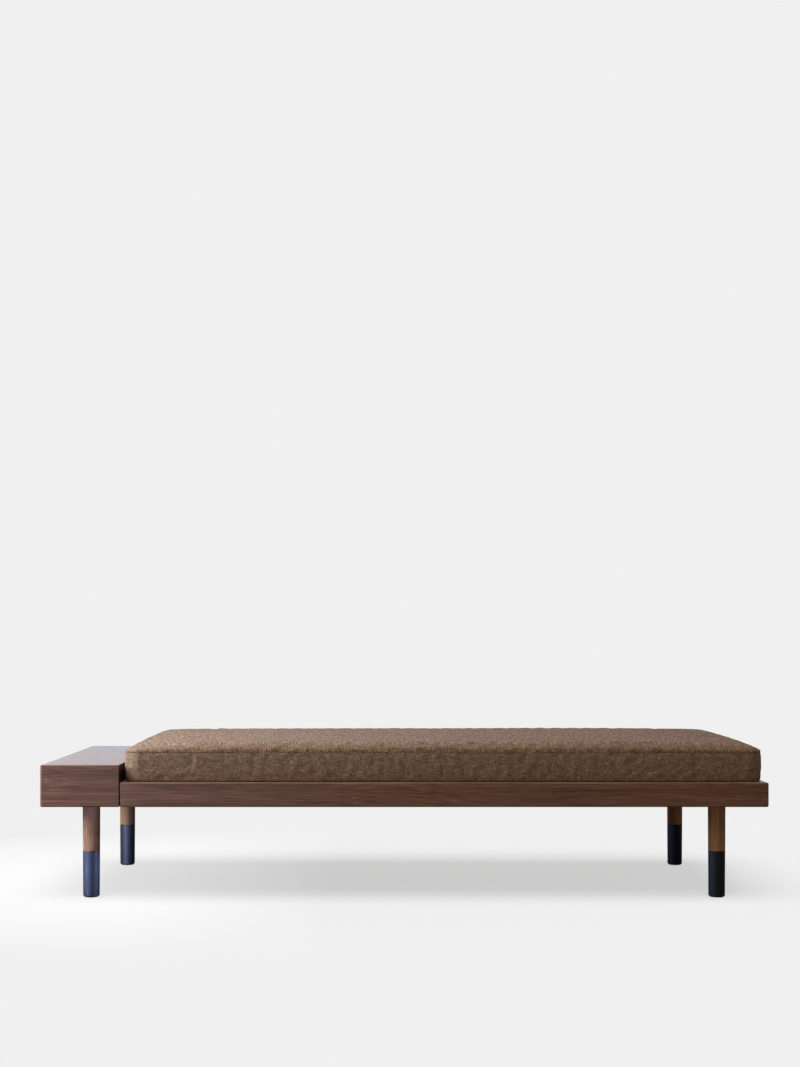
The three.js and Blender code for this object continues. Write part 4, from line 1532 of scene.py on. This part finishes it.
    def relax(self, piece: bpy.types.Object, rows: np.ndarray) -> None:
        """Runs the cover as cloth under a little pressure, and keeps what it does within the swell.

        The underside, the roll and the zip are held, the top seam is held by its cord, and the rest
        is held loosely, as cloth on foam is. It is let out to a little more than its own size, so
        that it fills and ripples between its seams.

        Args:
            piece: the cover.
            rows: each point's ring.
        """
        mesh = piece.data
        rest = rows_of(mesh.vertices)
        held = piece.vertex_groups.new(name="held")
        weights = np.full(len(rest), self.foam_hold)
        weights[(rows >= -1) & (rows <= 2)] = 1.0
        weights[self.by_zip(rest, *self.zip_hold)] = 1.0
        weights[rows == rows.max()] = self.seam_hold
        for weight in (self.foam_hold, self.seam_hold, 1.0):
            held.add(np.flatnonzero(weights == weight).tolist(), weight, "REPLACE")
        cloth = piece.modifiers.new("cloth", "CLOTH")
        for name, value in {
            "quality": 5,
            "mass": 0.35,
            "tension_stiffness": 18,
            "compression_stiffness": 18,
            "shear_stiffness": 8,
            "bending_stiffness": 1.5,
            "shrink_min": -0.012,
            "vertex_group_mass": "held",
            "pin_stiffness": 1.0,
            "use_pressure": True,
            "uniform_pressure_force": 4.0,
        }.items():
            setattr(cloth.settings, name, value)
        cloth.settings.effector_weights.gravity = 0.0
        scene = bpy.context.scene
        cloth.point_cache.frame_start, cloth.point_cache.frame_end = 1, self.frames
        for number in range(1, self.frames + 1):
            scene.frame_set(number)
        seen = piece.evaluated_get(bpy.context.evaluated_depsgraph_get())
        moved = rows_of(seen.data.vertices) - rest
        piece.modifiers.remove(cloth)
        scene.frame_set(1)
        distance = np.maximum(np.linalg.norm(moved, axis=1, keepdims=True), TINY)
        far, usual = distance.max() / MM, distance.mean() / MM
        log.info("cloth moved %.1f mm at most, %.1f mm on average", far, usual)
        eased = moved * (np.tanh(distance / self.swell) * self.swell / distance)
        mesh.vertices.foreach_set("co", (rest + eased).ravel())
        mesh.update()

    def build(self) -> None:
        """Makes the cover and the foam."""
        shape, rows, flat, seam_share = self.surface()
        x = shape.points[:, 0]
        margin = 0.2 * MM
        in_zip = (x > self.zip_ends[0] - margin) & (x < self.zip_ends[1] + margin)
        in_zip &= self.by_zip(shape.points, self.zip_half + 0.1 * MM, 3 * MM)
        piece = make_piece("woven_cover", shape, "brown_weave", sharp_angle=180.0)
        mesh = piece.data
        self.relax(piece, rows)
        points = rows_of(mesh.vertices)
        points[in_zip, 1] = self.middle[1] + self.half[1] - self.zip_sink
        mesh.vertices.foreach_set("co", points.ravel())
        mesh.uv_layers.new(name="cloth").data.foreach_set("uv", flat.ravel())
        up = rows_of(mesh.vertices, "normal")[:, 2]
        lying = np.clip((up - self.flat_from) / (1 - self.flat_from), 0.0, 1.0)
        # The "seam" attribute places the cover's painted shade along the seam's crease.
        for name, values in (("seam", seam_share), ("lying", lying)):
            mesh.attributes.new(name, "FLOAT", "POINT").data.foreach_set("value", values)
        smooth = piece.modifiers.new("smooth", "SUBSURF")
        smooth.levels = smooth.render_levels = 1
        mount(piece, "mattress", "mattress_cover")
        log.info("cover of %d points", len(points))
        self.build_foam()

    def build_foam(self) -> None:
        """Makes the foam: the cover's own form on a coarser grid, drawn in towards its middle."""
        coarse = Mattress(spacing=110 * MM, lines_in=(0.0, 3.4, 13.2, 27.6, 45.0, 55.0))
        shape = coarse.surface()[0]
        half = np.append(self.half, self.middle[2] - self.seat)
        away = shape.points - self.middle
        shape.points = self.middle + away * (1 - self.foam_inset / half)
        piece = make_piece("foam_block", shape, "foam")
        mount(piece, "mattress", "mattress_foam_core")


def lofted(loops: np.ndarray) -> Shape:
    """A closed surface through loops of points, with a flat cap on the first and the last.

    Args:
        loops: loops x points x 3, anticlockwise as seen from the last one.

    Returns:
        The surface, whose faces point outwards.
    """
    rows, columns = loops.shape[:2]
    wall = quads(rows, columns, wrap_columns=True)[:, ::-1]
    cap = np.arange(columns)[None]
    return Shape(loops.reshape(-1, 3), [wall, cap[:, ::-1], cap + (rows - 1) * columns])


def extruded(outline: np.ndarray, axis: int, low: float, high: float, bevel: float) -> Shape:
    """A flat outline given a thickness, its edges bevelled towards the outline's middle.

    Args:
        outline: points x 2 in the two other axes in their cyclic order, anticlockwise.
        axis: the axis of the thickness.
        low: the lower face.
        high: the upper face.
        bevel: the bevel.

    Returns:
        The closed surface.
    """
    middle = outline.mean(axis=0)
    away = outline - middle
    drawn = middle + away * (1 - bevel / np.linalg.norm(away, axis=1, keepdims=True))
    levels = [(drawn, low), (outline, low + bevel), (outline, high - bevel), (drawn, high)]
    loops = np.empty((len(levels), len(outline), 3))
    for loop, (points, level) in zip(loops, levels):
        loop[:, [(axis + 1) % 3, (axis + 2) % 3]], loop[:, axis] = points, level
    return lofted(loops)


def arc(
    centre: Sequence[float], radius: float, start: float, end: float, steps: int
) -> np.ndarray:
    """Points on an arc, its angles in degrees, from its start to its end."""
    angles = np.radians(np.linspace(start, end, steps + 1))
    return np.array(centre) + radius * np.stack([np.cos(angles), np.sin(angles)], axis=-1)


@dataclass
class Zip:
    """The zip in the back of the border: tape with teeth, slider and pull."""

    tooth_pitch: float = 2.5 * MM
    tooth_width: float = 1.5 * MM
    tooth_reach: float = 2.4 * MM
    tooth_back: float = 0.6 * MM
    tooth_taper: float = 0.28
    tooth_root: float = 0.2 * MM
    tape_bevel: float = 0.4 * MM
    chain_rise: float = 1.2 * MM
    slider_rise: float = 3 * MM
    slider_bore: float = 2.8 * MM
    slider_edge: float = 0.8 * MM
    slider_nose: float = 1.3 * MM
    slider_draw: float = 1.1 * MM
    slider_waist: float = 0.16
    slider_steps: int = 7
    ear: float = 1.4 * MM
    ear_bevel: float = 0.25 * MM
    pin: float = 0.8 * MM
    eye_wall: float = 1.2 * MM
    pull_width: float = 6 * MM
    pull_neck: float = 0.62
    pull_wing: float = 0.45
    pull_thickness: float = 1.2 * MM
    gap: float = 0.3 * MM

    def build(self) -> None:
        """Makes the three pieces."""
        self.build_tape()
        self.build_slider()
        self.build_pull()
        log.info("zip")

    def teeth(self, low: float, high: float, face: float, middle: float) -> Shape:
        """Teeth that reach over the tape's middle from both sides in turn.

        Args:
            low: where the tape starts.
            high: where it ends.
            face: the tape's outer face.
            middle: the height of its middle.

        Returns:
            The teeth, each a tapered block.
        """
        places = np.arange(low + self.tooth_pitch, high - self.tooth_pitch, self.tooth_pitch)
        sides = np.where(np.arange(len(places)) % 2 == 0, 1.0, -1.0)[:, None]
        unit = [[x, y, z] for y in (0.0, 1.0) for z in (0.0, 1.0) for x in (-0.5, 0.5)]
        unit_x, unit_y, unit_z = np.array(unit).T
        slim = 1 - self.tooth_taper * unit_y
        x = places[:, None] + unit_x * self.tooth_width * slim
        y = face - self.tooth_root + unit_y * (self.chain_rise + self.tooth_root)
        reach = unit_z * (self.tooth_reach + self.tooth_back) * slim
        z = middle + sides * (reach - self.tooth_back)
        points = np.stack([x, np.broadcast_to(y, x.shape), z], axis=-1).reshape(-1, 3)
        block = [[0, 2, 3, 1], [4, 5, 7, 6], [0, 1, 5, 4], [2, 6, 7, 3], [0, 4, 6, 2], [1, 3, 7, 5]]
        faces = np.array(block) + 8 * np.arange(len(places))[:, None, None]
        faces = np.where(sides[:, None] > 0, faces[..., ::-1], faces).reshape(-1, 4)
        return Shape(points, [faces])

    def build_tape(self) -> None:
        """Makes the tape and the row of teeth on it."""
        low, high = box_of("zip_tape")
        face = high[1] - self.chain_rise
        lines = [
            np.linspace(0, 1, 60),
            np.array([0.0, 0.2, 1.0]),
            np.array([0.0, 0.05, 0.28, 0.72, 0.95, 1.0]),
        ]
        tape = hexahedron(box_corners(low, np.array([high[0], face, high[2]])), lines)
        edge = np.minimum(tape.points[:, 2] - low[2], high[2] - tape.points[:, 2])
        front = tape.points[:, 1] > face - 0.1 * MM
        tape.points[front & (edge < 0.3 * MM), 1] -= self.tape_bevel
        tape_faces = sum(len(block) for block in tape.faces)
        teeth = self.teeth(low[0], high[0], face, (low[2] + high[2]) / 2)
        piece = make_piece("zip_tape_and_teeth", tape.joined(teeth), "zip_cloth")
        mesh = piece.data
        mesh.materials.append(palette["zip_teeth"])
        slots = (np.arange(len(mesh.polygons)) >= tape_faces).astype(np.int32)
        mesh.polygons.foreach_set("material_index", slots)
        corners = np.empty(len(mesh.loops), dtype=np.int32)
        mesh.loops.foreach_get("vertex_index", corners)
        flat = rows_of(mesh.vertices)[corners][:, [0, 2]]
        mesh.uv_layers.new(name="cloth").data.foreach_set("uv", flat.ravel())
        mount(piece, "mattress", "zip_tape")

    def slider_body(self, low: np.ndarray, high: np.ndarray, top: float, roof: float) -> Shape:
        """The slider's body, whose section is an upside-down U over the teeth.

        Its half-width grows along its length, and both of its ends are drawn in by a quarter of a
        circle.

        Args:
            low: the slider's lowest corner.
            high: its highest corner.
            top: the body's outer face.
            roof: the inside of the U.

        Returns:
            The closed surface.
        """
        middle, half = (low[2] + high[2]) / 2, (high[2] - low[2]) / 2
        bore, edge, length = self.slider_bore, self.slider_edge, high[0] - low[0]
        end = np.array([0.0, 0.25, 0.7, 1.3]) * MM
        plain = np.linspace(2.4 * MM, length - 2.4 * MM, self.slider_steps)
        loops = []
        for place in np.concatenate([end, plain, length - end[::-1]]):
            nose = 1 - min(min(place, length - place) / self.slider_nose, 1.0)
            drawn = self.slider_draw * (1 - math.sqrt(max(1 - nose**2, 0.0)))
            wide = half * (1 - self.slider_waist + self.slider_waist * place / length) - drawn
            crest = top - drawn * 0.8
            outer = np.concatenate([
                [[wide, low[1]]],
                arc((wide - edge, crest - edge), edge, 0, 90, 4),
                arc((edge - wide, crest - edge), edge, 90, 180, 4),
                [[-wide, low[1]], [-bore, low[1]], [-bore, roof], [bore, roof], [bore, low[1]]],
            ])
            across = np.full(len(outer), low[0] + place)
            loop = np.stack([across, outer[:, 1], middle + outer[:, 0]], axis=-1)
            loops.append(loop[::-1])
        return lofted(np.array(loops))

    def build_slider(self) -> None:
        """Makes the slider: a body over the teeth, and two ears with a pin for the pull."""
        low, high = box_of("zip_slider")
        middle = (low[2] + high[2]) / 2
        top = low[1] + self.chain_rise + self.slider_rise
        shape = self.slider_body(low, high, top, box_of("zip_tape")[1][1] + self.gap)
        eye = (high[1] - (top + self.gap)) / 2
        pin_x, pin_y = low[0] + eye + self.ear, high[1] - eye
        sunk = top - 1.0 * MM
        foot = [[pin_x - eye, sunk], [pin_x + eye, sunk]]
        outline = np.concatenate([arc((pin_x, pin_y), eye, 0, 180, 12), foot])
        inner = self.pull_width / 2 + self.gap
        for side in (1, -1):
            start, end = sorted((middle + side * inner, middle + side * (inner + self.ear)))
            shape = shape.joined(extruded(outline, 2, start, end, self.ear_bevel))
        reach, pin = inner + self.ear / 2, self.pin
        corners = [(0.0, -reach), (pin, -reach), (pin, reach), (0.0, reach)]
        profile = rounded_profile([(radius, middle + way) for radius, way in corners], 0.2 * MM)
        shape = shape.joined(turned(profile, (pin_x, pin_y), 24))
        piece = make_piece("cast_slider", shape, "zinc_steel")
        mount(piece, "zip_slider", "zip_slider")

    def build_pull(self) -> None:
        """Makes the pull: a tapered tab with a round end, and an eye round the slider's pin."""
        low, high = box_of("zip_pull")
        middle = (low[2] + high[2]) / 2
        eye = (high[1] - low[1]) / 2
        pin_x, pin_y = high[0] - eye, (low[1] + high[1]) / 2
        bore, half = eye - self.eye_wall, self.pull_width / 2
        neck, wing = pin_x - eye + self.gap, low[0] + self.pull_wing * (pin_x - low[0])
        tip = arc((middle, low[0] + half), half, 180, 360, 16)
        narrow = self.pull_neck * half
        sides = [(half, wing), (narrow, neck), (-narrow, neck), (-half, wing)]
        outline = np.concatenate([tip, [[middle + way, place] for way, place in sides]])
        back, front = pin_y - self.pull_thickness / 2, pin_y + self.pull_thickness / 2
        tab = extruded(outline, 1, back, front, self.gap)
        corners = [(bore, low[2]), (eye, low[2]), (eye, high[2]), (bore, high[2]), (bore, low[2])]
        section = rounded_profile(corners, self.gap)[:-1]
        ring = turned(section, (pin_x, pin_y), 32, ring=True)
        piece = make_piece("stamped_pull", tab.joined(ring), "zinc_steel")
        mount(piece, "zip_pull", "zip_pull")


@dataclass(frozen=True)
class Panel:
    """A rectangular panel of light.

    The kinds of ray in hidden_from don't see it. It lights only the pieces whose names begin with
    one of the names in lights, or all pieces but those in passes.
    """

    name: str
    watts: float
    colour: Triple
    size: tuple[float, float]
    place: Triple
    target: Triple
    hidden_from: tuple[str, ...] = ()
    lights: tuple[str, ...] = ()
    passes: tuple[str, ...] = ()

    def hang(self) -> None:
        """Hangs the panel and links it to what it lights or passes over."""
        light = bpy.data.lights.new(self.name, "AREA")
        light.shape = "RECTANGLE"
        light.size, light.size_y = self.size
        light.energy, light.color = self.watts, self.colour
        lamp = aim(light, self.place, self.target)
        for kind in self.hidden_from:
            setattr(lamp, "visible_" + kind, False)
        linked = bpy.data.collections.new(self.name + "_linked")
        for piece in bpy.data.objects:
            if piece.name.startswith(self.lights or self.passes):
                linked.objects.link(piece)
        for entry in linked.collection_objects:
            entry.light_linking.link_state = "INCLUDE" if self.lights else "EXCLUDE"
        lamp.light_linking.receiver_collection = linked


def aim(light: bpy.types.Light, place: Triple, target: Triple) -> bpy.types.Object:
    """Hangs a light at a place and turns it towards a target.

    Args:
        light: the light.
        place: where it hangs.
        target: what it points at.

    Returns:
        The lamp.
    """
    lamp = bpy.data.objects.new(light.name, light)
    bpy.context.scene.collection.objects.link(lamp)
    lamp.location = place
    lamp.rotation_euler = (Vector(target) - Vector(place)).to_track_quat("-Z", "Y").to_euler()
    return lamp


@dataclass
class Studio:
    """The camera, the lamps, the world and the floor."""

    focal_pixels: float = 1608.0
    photo_size: tuple[int, int] = (800, 1067)
    vanishing_point: tuple[float, float] = (380.8, 639.4)
    eye: Triple = (-0.0616, -4.5636, 0.681)
    backdrop: float = 0.871
    dome: float = 0.13
    room: float = 0.15
    floor_half: float = 9.0
    sun_strength: float = 1.6
    sun_angle: float = 55.0

    def build(self) -> None:
        """Sets the stage."""
        self.place_camera()
        self.light_world()
        self.lay_floor()
        self.hang_lamps()
        bpy.context.scene.view_settings.view_transform = "Standard"
        log.info("studio")

    def place_camera(self) -> None:
        """Makes a camera that looks level along +Y, with the photo's vanishing point in place."""
        data = bpy.data.cameras.new("camera")
        camera = bpy.data.objects.new("camera", data)
        bpy.context.scene.collection.objects.link(camera)
        width, height = self.photo_size
        data.sensor_width = 36.0
        data.lens = data.sensor_width * self.focal_pixels / height
        data.shift_x = (width / 2 - self.vanishing_point[0]) / height
        data.shift_y = (self.vanishing_point[1] - height / 2) / height
        data.clip_end = 60.0
        camera.location = self.eye
        camera.rotation_euler = (math.pi / 2, 0.0, 0.0)
        bpy.context.scene.camera = camera

    def light_world(self) -> None:
        """Makes a world that shows the pale backdrop and lights as a weaker dome.

        The backdrop stands behind the divan and to its left. The rest of the room, which only gloss
        shows, is dimmer, most of all to the right.
        """
        world = bpy.data.worlds.new("studio")
        shading = blank(world)
        way = shading.separate(shading.node("ShaderNodeTexCoord").outputs["Generated"])
        leaning = shading.math("MULTIPLY_ADD", way[0], -0.55, way[1])
        room = shading.spread(leaning, -0.8, 0.45, self.room, self.backdrop)
        dimmer = shading.math("SUBTRACT", room, self.backdrop)
        shown = shading.add(shading.times(shading.ray("Glossy"), dimmer), self.backdrop)
        seen = shading.ray("Camera", "Glossy", "Transmission")
        strength = shading.spread(seen, 0.0, 1.0, self.dome, shown)
        inputs = {"Color": rgba(WHITE), "Strength": strength}
        background = shading.node("ShaderNodeBackground", inputs)
        shading.node("ShaderNodeOutputWorld", {"Surface": background.outputs[0]})
        bpy.context.scene.world = world

    def hang_lamps(self) -> None:
        """Hangs a soft light overhead, a cool panel at the left, a weak fill and lamps for gloss.

        The photo's left end has a blue sheen. Four small lamps give it to the sleeves alone and one
        to the fronts, and one washes the left shanks.
        """
        above = bpy.data.lights.new("above", "SUN")
        above.energy, above.angle = self.sun_strength, math.radians(self.sun_angle)
        above.color = (1.0, 0.98, 0.985)
        aim(above, (-0.5, -1.4, 5.0), ORIGIN)
        floor, sleeves = ("studio_floor",), ("lacquered_sleeve",)
        fronts = ("oiled_box_front_panel", "oiled_front_rail")
        shanks = ("turned_shank_front_left", "turned_shank_back_left")
        for_gloss, for_diffuse = ("diffuse", "camera"), ("glossy", "camera")
        cool, blue, deep = (0.29, 0.61, 0.93), (0.14, 0.28, 1.0), (0.20, 0.30, 1.0)
        spot = (0.1, 0.1)
        panels = [
            Panel(
                "left_panel", 112.0, (0.61, 0.79, 1.0), (1.2, 1.4),
                (-1.9, -0.55, 1.15), (-0.6, 0.0, 0.3), passes=floor,
            ),
            Panel(
                "front_fill", 7.0, WHITE, (2.0, 0.8),
                (0.9, -3.4, 0.45), (0.35, 0.0, 0.3), for_diffuse, passes=floor,
            ),
            Panel(
                "cool_sheen", 14.5, cool, (2.4, 1.0),
                (-1.2, 3.2, 0.7), (-0.8, 0.0, 0.35), for_gloss, passes=sleeves,
            ),
            Panel(
                "low_glow", 7.0, blue, (1.1, 0.16),
                (-1.45, -3.4, 0.09), (-0.83, -0.37, 0.25), for_gloss, lights=fronts,
            ),
            Panel(
                "shank_wash", 20.0, deep, spot,
                (-1.15, -1.5, 0.14), (-0.83, -0.3, 0.14), for_diffuse, lights=shanks,
            ),
        ]
        for name, watts, colour, place, target_y in (
            ("leg_left", 12.8, (0.34, 0.45, 1.0), (-1.22, -0.57, 0.06), -0.305),
            ("leg_front", 6.2, (0.38, 0.47, 1.0), (-0.97, -0.85, 0.06), -0.305),
            ("leg_right", 4.2, (0.38, 0.47, 1.0), (-0.50, -0.39, 0.06), -0.305),
            ("leg_back", 6.6, (0.44, 0.55, 1.0), (-0.98, -0.08, 0.06), 0.30),
        ):
            target = (-0.83, target_y, 0.05)
            panels.append(Panel(name, watts, colour, spot, place, target, for_gloss, sleeves))
        for panel in panels:
            panel.hang()

    def lay_floor(self) -> None:
        """Lays a floor whose rim has the backdrop's colour and whose middle takes the shadow. Its
        glow grows towards the left, as painted light in the shadow there.
        """
        material = bpy.data.materials.new("studio_floor")
        shading = blank(material)
        place = shading.place()
        near = shading.vector("MULTIPLY", place, (0.7, 1.3, 0.0))
        away = shading.vector("LENGTH", near, output=1)
        rim = shading.spread(away, 0.75, 1.6)
        # The floor's glow is even, but grows towards the left end: painted light that lightens the
        # shadow there.
        floor_glow_with_painted_light = shading.spread(shading.separate(place)[0], -0.2, -0.75, 0.58, 0.70)

        def shader(kind: str, *inputs: Number | Sequence[float]) -> Socket:
            """Adds a shader with its inputs in order."""
            return shading.node("ShaderNode" + kind, dict(enumerate(inputs))).outputs[0]

        lit = shader("BsdfDiffuse", (0.3, 0.3, 0.3, 1.0))
        thin = shader("BsdfDiffuse", (0.48, 0.48, 0.48, 1.0))
        middle = shader("AddShader", thin, shader("Emission", rgba(WHITE), floor_glow_with_painted_light))
        plain = shader("Emission", rgba(WHITE), self.backdrop)
        shown = shader("MixShader", rim, middle, plain)
        final = shader("MixShader", shading.ray("Camera"), lit, shown)
        shading.node("ShaderNodeOutputMaterial", {"Surface": final})
        palette[material.name] = material
        ends = (-self.floor_half, self.floor_half)
        points = np.array([(x, y, 0.0) for y in ends for x in ends])
        shape = Shape(points, [np.array([[0, 1, 3, 2]])])
        floor = make_piece("studio_floor", shape, material.name)


def finish_cad() -> None:
    """Gives the CAD nodes that stay in sight their finishes."""
    ends = ("front", "back")
    corners = [f"{end}_{side}" for end in ends for side in ("left", "right")]
    bolts = [f"box_{part}_{end}" for part in ("bolt", "nut") for end in ends]
    bolts += [f"leg_{part}_{corner}" for part in ("hanger_bolt", "insert") for corner in corners]
    for material, nodes in {
        "walnut_across": ["box_bottom_panel", "head_rail"],
        "beech_across": ["box_leg_bearer", "leg_bearer", "middle_bearer"],
        "beech_along": [name for end in ends for name in (f"corner_spline_{end}", f"{end}_ledge")],
        "zinc_steel": bolts,
        "nylon": ["shadow_gap_spacer"],
    }.items():
        for node in nodes:
            for slot in frame["nodes"][node].material_slots:
                slot.material = palette[material]


def main() -> None:
    """Builds the divan's looks in order and logs its progress."""
    logging.basicConfig(level=logging.INFO, format="%(name)s: %(message)s")
    palette.fill()
    BoxTable().build()
    LongFrame().build()
    SlattedDeck().build()
    for number, place in enumerate(("front_left", "back_left", "front_right", "back_right"), 30):
        Leg(place, number).build()
    Mattress().build()
    Zip().build()
    finish_cad()
    Studio().build()


if __name__ == "__main__":
    main()
